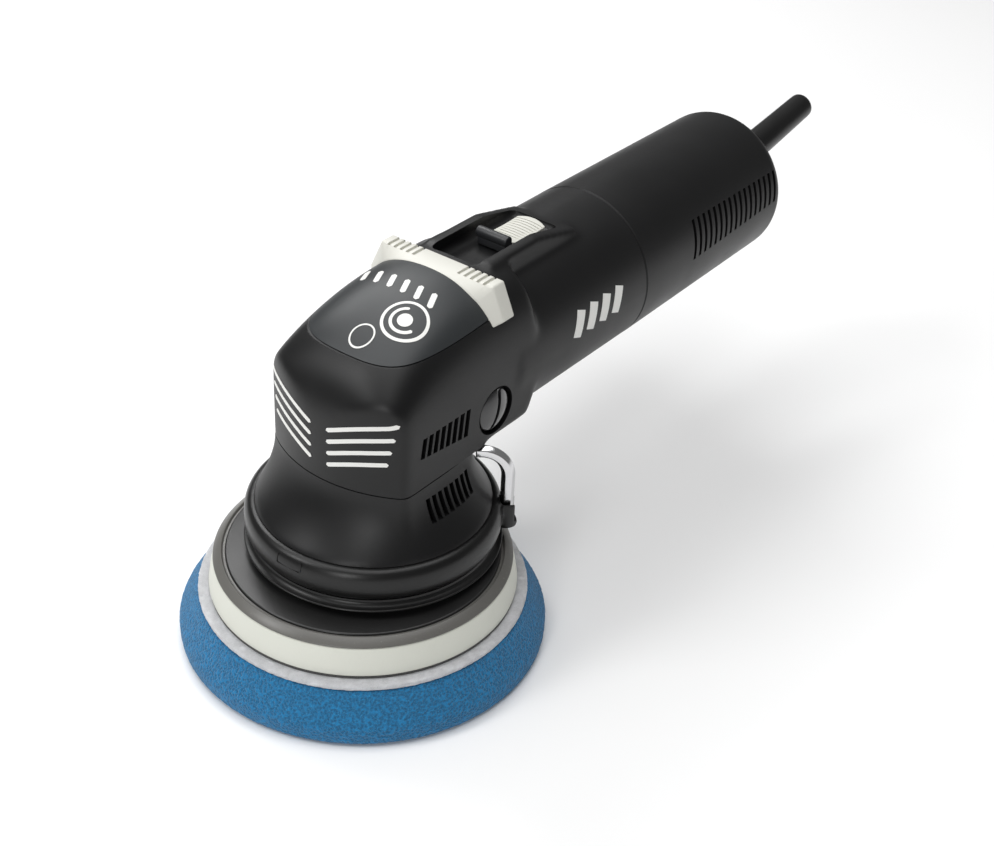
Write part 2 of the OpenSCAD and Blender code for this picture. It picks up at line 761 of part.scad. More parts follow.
// A cylinder along the bar that stands across the slider's front end.
module bar_line(r, length) {
    translate([bar_x, length / 2, deck_z + 5.2]) rotate([90, 0, 0]) cylinder(r = r, h = length);
}

module slider_bar() color("darkgray") {
    at_head() bar_line(bar_r, 15.4);
}

module switch_link() color("darkslategray") {
    at_head() {
        translate([80.5, -2.2, deck_z - 4.4]) cube([86, 4.4, 1.4]);
        translate([162, -2.2, deck_z - 12]) cube([4.5, 4.4, 8.4]);
    }
}

module power_switch() color("black") {
    at_head() translate([163, -9, motor_z + 4]) difference() {
        cube([26, 18, 20]);
        translate([-11, 5.8, 14]) cube([16, 6.4, 10]);
    }
}

module speed_module() color("saddlebrown") {
    at_head() {
        translate([168, -20, motor_z - 14]) cube([48, 40, 3]);
        translate([172, -14, motor_z - 11]) cube([18, 28, 13]);
        translate([198, -8, motor_z - 11]) cylinder(r = 6, h = 14);
        translate([208, 8, motor_z - 11]) cylinder(r = 5, h = 12);
        translate([214, 5.4, motor_z - 14]) cube([dial_x - 211.5, 5, 3]);
        translate([dial_x - 5, 5.4, dial_z - 5]) cube([7.5, 5, motor_z - 13 - dial_z + 5]);
        translate([dial_x, 5.6, dial_z]) rotate([90, 0, 0]) cylinder(r = 2 - fit, h = 10.4);
    }
}

module speed_dial() color("black") {
    at_head() translate([dial_x, 4.5, dial_z]) rotate([90, 0, 0]) difference() {
        cylinder(r = 11, h = 9);
        translate([0, 0, -1]) cylinder(r = 2, h = 11);
        for (a = [0:15:345]) rotate(a) translate([10.6, -0.5, -1]) cube([2, 1, 11]);
    }
}

module cord_boot() color("black") {
    boot_line() difference() {
        union() {
            cylinder(r1 = 7.1, r2 = 6.3, h = boot_len - 2);
            translate([0, 0, boot_len - 3]) cylinder(r = 5.4, h = 3);
            translate([0, 0, boot_len - 2.2]) cylinder(r = 5.9, h = 1.2);
            cylinder(r = 8, h = 3);
            translate([0, 0, -3.6]) cylinder(r = 8, h = 4);
            translate([0, 0, -3.6]) cylinder(r = 10, h = 3);
        }
        translate([0, 0, -4]) cylinder(r = cord_r, h = boot_len + 5);
    }
}

module cord_clamp() color("gray") {
    difference() {
        at_head() translate([clamp_x, -14, motor_z + 4]) cube([7, 28, 6.5]);
        boot_line() translate([0, 0, -20]) cylinder(r = cord_r, h = 20);
        for (y = [-11, 11]) at_head() translate([clamp_x + 3.5, y, motor_z]) cylinder(r = 1.6, h = 20);
    }
}

module clamp_screws() color("silver") {
    at_head() for (y = [-11, 11]) translate([clamp_x + 3.5, y, motor_z]) {
        translate([0, 0, 10.5]) cylinder(r = 2.6, h = 2);
        translate([0, 0, 4.1]) cylinder(r = 1.5, h = 7);
    }
}

foam_pad();
pad_loop_layer();
hook_layer();
plate_cushion();
plate_rim();
backing_disc();
plate_screw();
pad_spindle();
eccentric_bearings();
eccentric_carrier();
counterweight();
counterweight_screws();
spindle();
crown_gear();
spindle_bearing_lower();
spindle_bearing_upper();
gear_case();
gear_case_screws();
pinion_bearing();
bevel_pinion();
motor_shaft();
armature_core();
armature_windings();
commutator();
cooling_fan();
air_guide();
stator_core();
field_coils();
rear_bearing();
rear_bearing_bracket();
brush_holders();
carbon_brushes();
brush_springs();
main_housing();
top_panel();
panel_emblem();
palm_collar();
front_stripes();
side_badge();
side_plugs();
skirt();
skirt_screws();
bumper_ring();
dust_lip();
hex_key();
rear_housing();
housing_screws();
switch_slider();
slider_bar();
switch_link();
power_switch();
speed_module();
speed_dial();
cord_clamp();
clamp_screws();
cord_boot();
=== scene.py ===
"""Looks of a dual action polisher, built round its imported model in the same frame.

Sizes are in millimetres and become metres where a mesh is made. Head sizes count along X from the
spindle axis, pad sizes from the pad axis, and the frame gives the distance between the two.
"""

import json
import logging
import math
from dataclasses import dataclass
from enum import Enum
from typing import Callable, Sequence

import bpy
from mathutils import Matrix, Vector


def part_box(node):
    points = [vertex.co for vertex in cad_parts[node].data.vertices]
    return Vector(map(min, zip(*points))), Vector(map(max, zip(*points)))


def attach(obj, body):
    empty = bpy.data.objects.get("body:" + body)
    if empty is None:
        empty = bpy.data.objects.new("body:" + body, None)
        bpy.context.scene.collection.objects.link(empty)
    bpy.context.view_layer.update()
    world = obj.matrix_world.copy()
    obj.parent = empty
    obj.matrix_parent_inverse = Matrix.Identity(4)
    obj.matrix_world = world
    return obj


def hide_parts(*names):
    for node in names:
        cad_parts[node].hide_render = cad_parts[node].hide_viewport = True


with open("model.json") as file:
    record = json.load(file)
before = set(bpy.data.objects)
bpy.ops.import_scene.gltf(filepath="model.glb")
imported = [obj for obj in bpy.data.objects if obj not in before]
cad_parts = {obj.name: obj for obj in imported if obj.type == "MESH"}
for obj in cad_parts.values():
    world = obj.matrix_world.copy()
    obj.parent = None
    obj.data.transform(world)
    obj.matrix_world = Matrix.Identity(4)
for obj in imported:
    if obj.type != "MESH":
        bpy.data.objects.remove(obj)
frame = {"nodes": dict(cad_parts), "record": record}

MM = 0.001
LOG = logging.getLogger("polisher")
Object = bpy.types.Object
Colour = tuple[float, float, float]
Triple = tuple[float, float, float]
Outline = Sequence[tuple[float, float]]

# Sizes that more than one sub-assembly shares: the grip, the switch recess and the plugs in the head.
MOTOR_Z = 110.0
GRIP_RADIUS = 35.0
GRIP_SEAM = 135.0
DECK_Z = 143.0
PLUG_X, PLUG_Z = 32.5, 99.5
WALL = 2.5


class Axis(Enum):
    """The three directions of the frame."""

    X = (1.0, 0.0, 0.0)
    Y = (0.0, 1.0, 0.0)
    Z = (0.0, 0.0, 1.0)


class Keep(Enum):
    """What a boolean keeps of a piece."""

    OUTSIDE = "DIFFERENCE"
    INSIDE = "INTERSECT"
    BOTH = "UNION"


# ---- Shader maths ----


class Sock:
    """One output of a shader node, on which Python's operators add Math nodes."""

    def __init__(self, graph: "Graph", socket: bpy.types.NodeSocket) -> None:
        """Wraps a socket of a graph."""
        self.graph = graph
        self.socket = socket

    def _maths(self, operation: str, left: object, right: object) -> "Sock":
        """Adds one Math node."""
        return self.graph.node("ShaderNodeMath", {"operation": operation}, {0: left, 1: right})

    def __add__(self, other: object) -> "Sock":
        """Adds."""
        return self._maths("ADD", self, other)

    def __radd__(self, other: object) -> "Sock":
        """Adds, reflected."""
        return self._maths("ADD", other, self)

    def __sub__(self, other: object) -> "Sock":
        """Subtracts."""
        return self._maths("SUBTRACT", self, other)

    def __mul__(self, other: object) -> "Sock":
        """Multiplies."""
        return self._maths("MULTIPLY", self, other)


class Graph:
    """A material's node tree, grown by expressions."""

    def __init__(self, name: str) -> None:
        """Makes the material with its shader."""
        self.material = bpy.data.materials.new(name)
        self.material.use_nodes = True
        self.tree = self.material.node_tree
        self.shader = self.tree.nodes["Principled BSDF"]
        self.place = self.node("ShaderNodeTexCoord", output=3)

    def feed(self, socket: bpy.types.NodeSocket, value: object) -> None:
        """Links a Sock to a socket, or sets the socket's own value."""
        if isinstance(value, Sock):
            self.tree.links.new(value.socket, socket)
        else:
            socket.default_value = value

    def node(self, kind: str, settings: dict | None = None, inputs: dict | None = None,
             output: int | str = 0) -> Sock:
        """Adds any node.

        Args:
            kind: the node's type.
            settings: its properties, set first; "stops" are a ramp's (position, colour) pairs.
            inputs: values or Socks by the name or number of the input.
            output: the output that is wanted.

        Returns:
            That output.
        """
        made = self.tree.nodes.new(kind)
        for key, value in (settings or {}).items():
            if key == "stops":
                for stop, (position, colour) in zip(made.color_ramp.elements, value):
                    stop.position, stop.color = position, colour
            else:
                setattr(made, key, value)
        for key, value in (inputs or {}).items():
            self.feed(made.inputs[key], value)
        return Sock(self, made.outputs[output])

    def stretched(self, sizes_mm: Triple) -> Sock:
        """Coordinates that count in steps of the given sizes."""
        scale = tuple(1 / (size * MM) for size in sizes_mm)
        return self.node("ShaderNodeMapping", {"vector_type": "POINT"},
                         {"Vector": self.place, "Scale": scale})

    def noise(self, size_mm: float | Triple, detail: float = 2.0, rough: float = 0.5) -> Sock:
        """Noise between 0 and 1 whose lumps have a real size, or one along each axis."""
        sizes = size_mm if isinstance(size_mm, tuple) else (size_mm,) * 3
        return self.node("ShaderNodeTexNoise", None, {
            "Vector": self.stretched(sizes), "Scale": 1.0, "Detail": detail, "Roughness": rough})

    def cells(self, size_mm: float) -> Sock:
        """Distance to the middle of cells of a real size."""
        return self.node("ShaderNodeTexVoronoi", {"feature": "F1"}, {
            "Vector": self.stretched((size_mm,) * 3), "Scale": 1.0, "Randomness": 1.0})

    def ramp(self, value: Sock, low: float, high: float) -> Sock:
        """Rises smoothly from 0 at low to 1 at high."""
        return self.node("ShaderNodeMapRange", {"interpolation_type": "SMOOTHSTEP", "clamp": True},
                         {"Value": value, "From Min": low, "From Max": high})

    def mixed(self, mask: Sock, first: object, second: object) -> Sock:
        """Colour that goes from first to second as the mask goes from 0 to 1."""
        made = self.tree.nodes.new("ShaderNodeMix")
        made.data_type = "RGBA"
        for number, value in ((0, mask), (6, first), (7, second)):
            whole = value if isinstance(value, Sock) or number == 0 else (*value, 1.0)
            self.feed(made.inputs[number], whole)
        return Sock(self, made.outputs[2])

    def finish(self, colour: Sock, roughness: object, height: Sock | None = None, depth_mm: float = 0.0,
               **fixed: object) -> bpy.types.Material:
        """Joins the pattern to the shader.

        Args:
            colour: the base colour.
            roughness: a Sock or a number.
            height: the relief, from 0 to 1.
            depth_mm: how deep the relief is.
            fixed: other inputs of the shader that are the same all over, with _ for a space.

        Returns:
            The material.
        """
        self.feed(self.shader.inputs["Base Color"], colour)
        self.feed(self.shader.inputs["Roughness"], roughness)
        for key, value in fixed.items():
            self.feed(self.shader.inputs[key.replace("_", " ")], value)
        if height is not None:
            relief = self.node("ShaderNodeBump", None, {
                "Strength": 1.0, "Distance": depth_mm * MM, "Height": height})
            self.feed(self.shader.inputs["Normal"], relief)
        return self.material


def tinted(colour: Colour, factor: float) -> Colour:
    """The colour, lighter or darker by a factor."""
    return tuple(min(1.0, c * factor) for c in colour)


# ---- Finishes ----


@dataclass(frozen=True)
class Moulded:
    """Moulded plastic or rubber with a spark-eroded grain, faint clouding and fine rubbed specks."""

    colour: Colour
    roughness: float
    grain_mm: float = 0.35
    depth_mm: float = 0.012
    mottle: float = 0.25
    specks: float = 0.0
    coat: float = 0.0
    shine: float = 0.5

    def material(self, name: str) -> bpy.types.Material:
        """Makes the material."""
        graph = Graph(name)
        grain = graph.noise(self.grain_mm, 3.0, 0.6)
        cloud = graph.noise(26.0, 3.0)
        tone = graph.mixed(grain * 0.5 + cloud * 0.5, tinted(self.colour, 1 - self.mottle),
                           tinted(self.colour, 1 + self.mottle))
        dust = graph.ramp(graph.noise(1.3, 2.0, 0.7), 0.66, 0.74) * self.specks
        colour = graph.mixed(dust, tone, tinted(self.colour, 4.0))
        roughness = self.roughness + (cloud - 0.5) * 0.16 + (grain - 0.5) * 0.10 + dust * 0.2
        return graph.finish(colour, roughness, grain, self.depth_mm,
                            Coat_Weight=self.coat, Coat_Roughness=0.12, Specular_IOR_Level=self.shine)


@dataclass(frozen=True)
class CellFoam:
    """Open-cell polishing foam: painted shade darkens the pores between lighter struts."""

    colour: Colour
    pore_mm: float = 0.9

    def material(self, name: str) -> bpy.types.Material:
        """Makes the material."""
        graph = Graph(name)
        pore = graph.cells(self.pore_mm)
        fine = graph.cells(self.pore_mm * 0.45)
        cloud = graph.noise(9.0, 3.0)
        strut_relief_and_pore_shade = graph.ramp(pore * 0.65 + fine * 0.35, 0.25, 0.75)
        # Painted shade: the pore centres, which lie low in the relief, are darkened to 0.62 of the colour
        # and the struts are lightened to 1.25.
        tone = graph.mixed(strut_relief_and_pore_shade, tinted(self.colour, 0.62), tinted(self.colour, 1.25))
        colour = graph.mixed(cloud * 0.35, tone, tinted(self.colour, 0.8))
        bright = graph.ramp(graph.noise(0.5, 1.0), 0.62, 0.72) * 0.5
        colour = graph.mixed(bright, colour, (0.06, 0.34, 0.58))
        return graph.finish(colour, 0.85 + fine * 0.1, strut_relief_and_pore_shade, 0.45,
                            Sheen_Weight=0.15, Sheen_Roughness=0.5)


@dataclass(frozen=True)
class Felt:
    """Loop or hook fabric: short fibres that lie all ways."""

    colour: Colour
    fibre_mm: float = 0.22

    def material(self, name: str) -> bpy.types.Material:
        """Makes the material."""
        graph = Graph(name)
        fibre = graph.noise((self.fibre_mm, self.fibre_mm, self.fibre_mm * 3), 4.0, 0.7)
        clump = graph.noise(2.2, 3.0, 0.6)
        shade = graph.ramp(fibre * 0.6 + clump * 0.4, 0.32, 0.62)
        colour = graph.mixed(shade, tinted(self.colour, 0.80), self.colour)
        return graph.finish(colour, 0.9 + fibre * 0.08, shade, 0.35,
                            Sheen_Weight=0.3, Sheen_Roughness=0.6)


@dataclass(frozen=True)
class Machined:
    """Turned, drawn or ground metal with fine lines along one axis' rings."""

    colour: Colour
    roughness: float
    lines_mm: Triple = (3.0, 3.0, 0.12)
    oil: float = 0.3

    def material(self, name: str) -> bpy.types.Material:
        """Makes the material."""
        graph = Graph(name)
        lines = graph.noise(self.lines_mm, 2.0, 0.6)
        film = graph.noise(7.0, 3.0)
        colour = graph.mixed(film * self.oil + lines * 0.3, self.colour, tinted(self.colour, 0.55))
        roughness = self.roughness + (lines - 0.5) * 0.12 + (film - 0.5) * 0.15
        return graph.finish(colour, roughness, lines, 0.006, Metallic=1.0)


@dataclass(frozen=True)
class Cast:
    """Sand or die cast metal with a pebbled skin."""

    colour: Colour
    roughness: float
    pebble_mm: float = 0.8

    def material(self, name: str) -> bpy.types.Material:
        """Makes the material."""
        graph = Graph(name)
        pebble = graph.cells(self.pebble_mm)
        stain = graph.noise(12.0, 4.0, 0.6)
        colour = graph.mixed(stain, tinted(self.colour, 0.7), tinted(self.colour, 1.15))
        return graph.finish(colour, self.roughness + (stain - 0.5) * 0.2, pebble, 0.06, Metallic=1.0)


@dataclass(frozen=True)
class Stacked:
    """Laminations or windings: bands of one thickness along X."""

    colour: Colour
    roughness: float
    step_mm: float
    metallic: float = 1.0

    def material(self, name: str) -> bpy.types.Material:
        """Makes the material."""
        graph = Graph(name)
        wave = graph.node("ShaderNodeTexWave", {"wave_type": "BANDS", "bands_direction": "X"}, {
            "Vector": graph.stretched((self.step_mm * 6.3,) * 3), "Scale": 2.0, "Distortion": 0.6},
            output=1)
        stain = graph.noise(5.0, 3.0)
        colour = graph.mixed(wave * 0.6 + stain * 0.4, tinted(self.colour, 0.45), self.colour)
        return graph.finish(colour, self.roughness + (stain - 0.5) * 0.2, wave, 0.08,
                            Metallic=self.metallic)


HOUSING_BLACK = (0.0038, 0.0038, 0.0041)
FINISHES = {
    "foam": CellFoam((0.008, 0.165, 0.370), 1.1),
    "loop_fabric": Felt((0.86, 0.87, 0.90)),
    "hook_fabric": Felt((0.05, 0.05, 0.05)),
    "cushion_foam": Moulded((0.70, 0.71, 0.64), 0.62, 0.7, 0.03, 0.05),
    "rim_plastic": Moulded((0.120, 0.117, 0.108), 0.34, 0.5, 0.03, 0.12, 0.15),
    "disc_plastic": Moulded((0.014, 0.014, 0.014), 0.34, 0.4, 0.02, 0.2, 0.05),
    "housing_plastic": Moulded(HOUSING_BLACK, 0.42, 0.35, 0.010, 0.2, 0.02, shine=0.36),
    "panel_plastic": Moulded((0.022, 0.025, 0.027), 0.42, 0.35, 0.010, 0.15, 0.02),
    "collar_plastic": Moulded((0.66, 0.655, 0.60), 0.42, 0.4, 0.010, 0.04),
    "print_white": Moulded((0.82, 0.82, 0.79), 0.38, 0.5, 0.006, 0.03),
    "soft_rubber": Moulded((0.004, 0.004, 0.004), 0.34, 0.5, 0.02, 0.25, 0.06, shine=0.4),
    "black_plastic": Moulded((0.006, 0.006, 0.006), 0.45, 0.35, 0.012, 0.2),
    "bar_plastic": Moulded((0.020, 0.021, 0.023), 0.38, 0.35, 0.012, 0.15),
    "plug_plastic": Moulded((0.012, 0.012, 0.013), 0.20, 0.5, 0.004, 0.2, 0.0, 0.6),
    "bright_steel": Machined((0.74, 0.74, 0.75), 0.16, (0.10, 0.10, 2.5), 0.1),
    "screw_steel": Machined((0.24, 0.24, 0.25), 0.36),
    "shaft_steel": Machined((0.55, 0.55, 0.56), 0.24, (0.12, 3.0, 3.0)),
    "gear_steel": Machined((0.42, 0.42, 0.43), 0.33, (0.5, 0.5, 0.2), 0.5),
    "lamination_steel": Stacked((0.30, 0.30, 0.33), 0.45, 0.5),
    "weight_iron": Cast((0.27, 0.26, 0.25), 0.6),
    "case_aluminium": Cast((0.42, 0.43, 0.44), 0.5, 0.6),
    "enamelled_copper": Stacked((0.52, 0.18, 0.06), 0.3, 0.6),
    "brass_plate": Machined((0.66, 0.47, 0.20), 0.32, (0.2, 2.0, 2.0)),
    "carbon": Moulded((0.020, 0.020, 0.021), 0.6, 0.3, 0.03, 0.3),
    "board_resin": Moulded((0.020, 0.070, 0.035), 0.3, 0.6, 0.01, 0.2),
}


class Palette:
    """Every finish of the machine, made once each under its slot's name."""

    def __init__(self) -> None:
        """Makes the materials."""
        self.made = {name: finish.material(name) for name, finish in FINISHES.items()}

    def coat(self, piece: Object, slot: str) -> None:
        """Gives a piece one finish all over."""
        piece.data.materials.clear()
        piece.data.materials.append(self.made[slot])

    def coat_nodes(self) -> None:
        """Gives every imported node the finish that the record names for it."""
        for row in frame["record"]["subparts"]:
            self.coat(frame["nodes"][row["node"]], row["material_slot"])


# ---- Modelling ----


class Bench:
    """Modelling by operators, counted in millimetres from a point on the frame's X axis."""

    def __init__(self, palette: Palette, shift_mm: float) -> None:
        """Sets the palette and the place that local X counts from."""
        self.palette = palette
        self.shift = shift_mm

    def at(self, x: float, y: float, z: float) -> Vector:
        """A point in the frame, in metres."""
        return Vector((x + self.shift, y, z)) * MM

    @staticmethod
    def hold(piece: Object) -> None:
        """Selects one piece alone and makes it active."""
        bpy.ops.object.select_all(action="DESELECT")
        piece.select_set(True)
        bpy.context.view_layer.objects.active = piece

    def _settle(self, name: str) -> Object:
        """Names the active object and applies its place to its mesh."""
        piece = bpy.context.object
        piece.name = name
        bpy.ops.object.transform_apply(location=True, rotation=True, scale=True)
        return piece

    def block(self, name: str, low: Triple, high: Triple) -> Object:
        """A box between two corners."""
        bpy.ops.object.select_all(action="DESELECT")
        low_m, high_m = self.at(*low), self.at(*high)
        bpy.ops.mesh.primitive_cube_add(size=1, location=(low_m + high_m) / 2, scale=high_m - low_m)
        return self._settle(name)

    def round_bar(self, name: str, start: Triple, end: Triple, radius: float, sides: int = 96) -> Object:
        """A cylinder between two points."""
        bpy.ops.object.select_all(action="DESELECT")
        start_m, end_m = self.at(*start), self.at(*end)
        line = end_m - start_m
        bpy.ops.mesh.primitive_cylinder_add(
            vertices=sides, radius=radius * MM, depth=line.length, location=(start_m + end_m) / 2,
            rotation=line.to_track_quat("Z", "Y").to_euler())
        return self._settle(name)

    def from_points(self, name: str, points: Sequence[Triple], edges: Sequence = (),
                    faces: Sequence = ()) -> Object:
        """A mesh from points, for outlines and lofts that no primitive starts."""
        mesh = bpy.data.meshes.new(name)
        mesh.from_pydata([self.at(*point) for point in points], list(edges), list(faces))
        piece = bpy.data.objects.new(name, mesh)
        bpy.context.scene.collection.objects.link(piece)
        self.hold(piece)
        return piece

    @staticmethod
    def edit(*steps: Callable[[], object]) -> None:
        """Runs operators in edit mode on the whole active mesh."""
        bpy.ops.object.mode_set(mode="EDIT")
        bpy.ops.mesh.select_all(action="SELECT")
        for step in steps:
            step()
        bpy.ops.object.mode_set(mode="OBJECT")

    def close(self) -> None:
        """Merges doubles of the active mesh and turns its faces outwards."""
        self.edit(lambda: bpy.ops.mesh.remove_doubles(threshold=1e-6),
                  lambda: bpy.ops.mesh.normals_make_consistent(inside=False))

    def prism(self, name: str, outline: Outline, axis: Axis, low: float, high: float) -> Object:
        """An outline extruded along an axis.

        Args:
            name: the new object's name.
            outline: points in the plane across the axis: (y, z), (x, z) or (x, y).
            axis: the direction of the extrusion.
            low: where it starts along the axis.
            high: where it ends.

        Returns:
            The closed solid.
        """
        order = {Axis.X: lambda a, b: (low, a, b), Axis.Y: lambda a, b: (a, low, b),
                 Axis.Z: lambda a, b: (a, b, low)}[axis]
        piece = self.from_points(name, [order(a, b) for a, b in outline],
                                 faces=[range(len(outline))])
        shift = Vector(axis.value) * (high - low) * MM
        self.edit(lambda: bpy.ops.mesh.extrude_region_move(TRANSFORM_OT_translate={"value": shift}),
                  lambda: bpy.ops.mesh.select_all(action="SELECT"),
                  lambda: bpy.ops.mesh.normals_make_consistent(inside=False))
        return piece

    def lathe(self, name: str, profile: Outline, axis: Axis = Axis.Z, centre: Triple = (0.0, 0.0, 0.0),
              steps: int = 144) -> Object:
        """A profile spun round an axis through a centre.

        Args:
            name: the new object's name.
            profile: (radius, distance along the axis) pairs, closed back to the first.
            axis: the direction of the axis.
            centre: a point on it.
            steps: how many parts the turn has.

        Returns:
            The closed solid.
        """
        x, y, z = centre
        order = {Axis.X: lambda r, a: (x + a, y, z + r), Axis.Y: lambda r, a: (x + r, y + a, z),
                 Axis.Z: lambda r, a: (x + r, y, z + a)}[axis]
        points = [order(radius, along) for radius, along in profile]
        count = len(points)
        piece = self.from_points(name, points, [(i, (i + 1) % count) for i in range(count)])
        centre = self.at(*centre)
        self.edit(lambda: bpy.ops.mesh.spin(steps=steps, angle=math.tau, center=centre, axis=axis.value))
        self.close()
        return piece

    def loft(self, name: str, rings: Sequence[Sequence[Triple]]) -> Object:
        """A closed solid through rings of equal count, with flat ends."""
        size = len(rings[0])
        points = [point for ring in rings for point in ring]
        faces = [[j * size + i, j * size + (i + 1) % size, (j + 1) * size + (i + 1) % size,
                  (j + 1) * size + i] for j in range(len(rings) - 1) for i in range(size)]
        faces += [list(range(size)), [(len(rings) - 1) * size + i for i in range(size)]]
        piece = self.from_points(name, points, faces=faces)
        self.close()
        return piece

    def slots(self, outline: Callable[[int], Outline], count: int, near: float, far: float) -> Object:
        """One tool that cuts a row of slots through both sides.

        Args:
            outline: the (x, z) outline of each slot, from its number.
            count: how many slots a side has.
            near: the distance from the middle plane at which a slot starts.
            far: the distance at which it ends.

        Returns:
            All slots as one mesh.
        """
        return self.join([self.prism("slot", outline(i), Axis.Y, *sorted((side * near, side * far)))
                          for side in (-1, 1) for i in range(count)])

    def copy(self, piece: Object, name: str) -> Object:
        """A copy with its own mesh."""
        twin = piece.copy()
        twin.data = piece.data.copy()
        twin.name = name
        bpy.context.scene.collection.objects.link(twin)
        return twin

    def modify(self, piece: Object, kind: str, **settings: object) -> None:
        """Adds a modifier and applies it."""
        self.hold(piece)
        modifier = piece.modifiers.new(kind.title(), kind)
        for key, value in settings.items():
            setattr(modifier, key, value)
        bpy.ops.object.modifier_apply(modifier=modifier.name)

    def join(self, pieces: Sequence[Object]) -> Object:
        """Joins pieces into the first."""
        bpy.ops.object.select_all(action="DESELECT")
        for piece in pieces:
            piece.select_set(True)
        bpy.context.view_layer.objects.active = pieces[0]
        bpy.ops.object.join()
        return pieces[0]

    def carve(self, piece: Object, keep: Keep, *tools: Object, spare: bool = False) -> None:
        """Runs a boolean with each tool in turn and removes the tools.

        Args:
            piece: the piece that changes.
            keep: the side of the tools that stays.
            tools: closed solids.
            spare: whether the tools are needed again.
        """
        for tool in tools:
            self.modify(piece, "BOOLEAN", operation=keep.value, object=tool, solver="MANIFOLD")
            if not spare:
                bpy.data.objects.remove(tool)

    def soften(self, piece: Object, voxel_mm: float, reach_mm: float) -> None:
        """Rounds every edge of a solid, as moulding does, over about the reach given."""
        self.modify(piece, "REMESH", mode="VOXEL", voxel_size=voxel_mm * MM)
        rounds = max(1, round(4 * (reach_mm / voxel_mm) ** 2))
        self.modify(piece, "SMOOTH", factor=0.5, iterations=rounds)

    def ease(self, piece: Object, width_mm: float, segments: int = 3, angle: float = 40.0) -> None:
        """Bevels the sharp edges."""
        self.modify(piece, "BEVEL", width=width_mm * MM, segments=segments, limit_method="ANGLE",
                    angle_limit=math.radians(angle), use_clamp_overlap=True)

    def print_on(self, piece: Object, target: Object, axis: Axis, sense: int, lift_mm: float) -> None:
        """Lays a flat mesh on a surface along an axis and gives it the thickness of a print.

        Args:
            piece: the flat mesh, some way outside the surface.
            target: the surface.
            axis: the direction in which the print travels to the surface.
            sense: +1 or -1 along that axis.
            lift_mm: how thick the print is.
        """
        self.modify(piece, "SHRINKWRAP", target=target, wrap_method="PROJECT",
                    use_project_x=axis is Axis.X, use_project_y=axis is Axis.Y,
                    use_project_z=axis is Axis.Z, use_positive_direction=sense > 0,
                    use_negative_direction=sense < 0, offset=0.02 * MM)
        outward = -Vector(axis.value) * sense
        self.hold(piece)
        if sum((face.normal.dot(outward) for face in piece.data.polygons)) < 0:
            self.edit(lambda: bpy.ops.mesh.flip_normals())
        self.modify(piece, "SOLIDIFY", thickness=lift_mm * MM, offset=1.0)

    def deliver(self, piece: Object, slot: str, body: str, *nodes: str, angle: float = 35.0) -> Object:
        """Shades and coats a finished piece, ties it to its body, hides the nodes that it stands for and
        logs its faces.

        Args:
            piece: the finished piece.
            slot: the record's material slot.
            body: the body that it rides on.
            nodes: the nodes that it stands for.
            angle: edges sharper than this many degrees stay sharp.

        Returns:
            The piece.
        """
        self.hold(piece)
        bpy.ops.object.shade_smooth_by_angle(angle=math.radians(angle))
        self.palette.coat(piece, slot)
        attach(piece, body)
        if nodes:
            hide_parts(*nodes)
        LOG.info("%s: %d faces", piece.name, len(piece.data.polygons))
        return piece


def arc(cx: float, cy: float, rx: float, ry: float, start: float, end: float, steps: int) -> list:
    """Points along part of an ellipse, from start to end in degrees."""
    turns = [math.radians(start + (end - start) * i / steps) for i in range(steps + 1)]
    return [(cx + rx * math.cos(t), cy + ry * math.sin(t)) for t in turns]


def crown(half_width: float, height: float, power: float, steps: int) -> list:
    """The upper half of a superellipse from +half_width to -half_width."""
    points = []
    for i in range(steps + 1):
        c, s = math.cos(math.pi * i / steps), math.sin(math.pi * i / steps)
        points.append((math.copysign(half_width * abs(c) ** (2 / power), c), height * s ** (2 / power)))
    return points


# ---- Casing ----


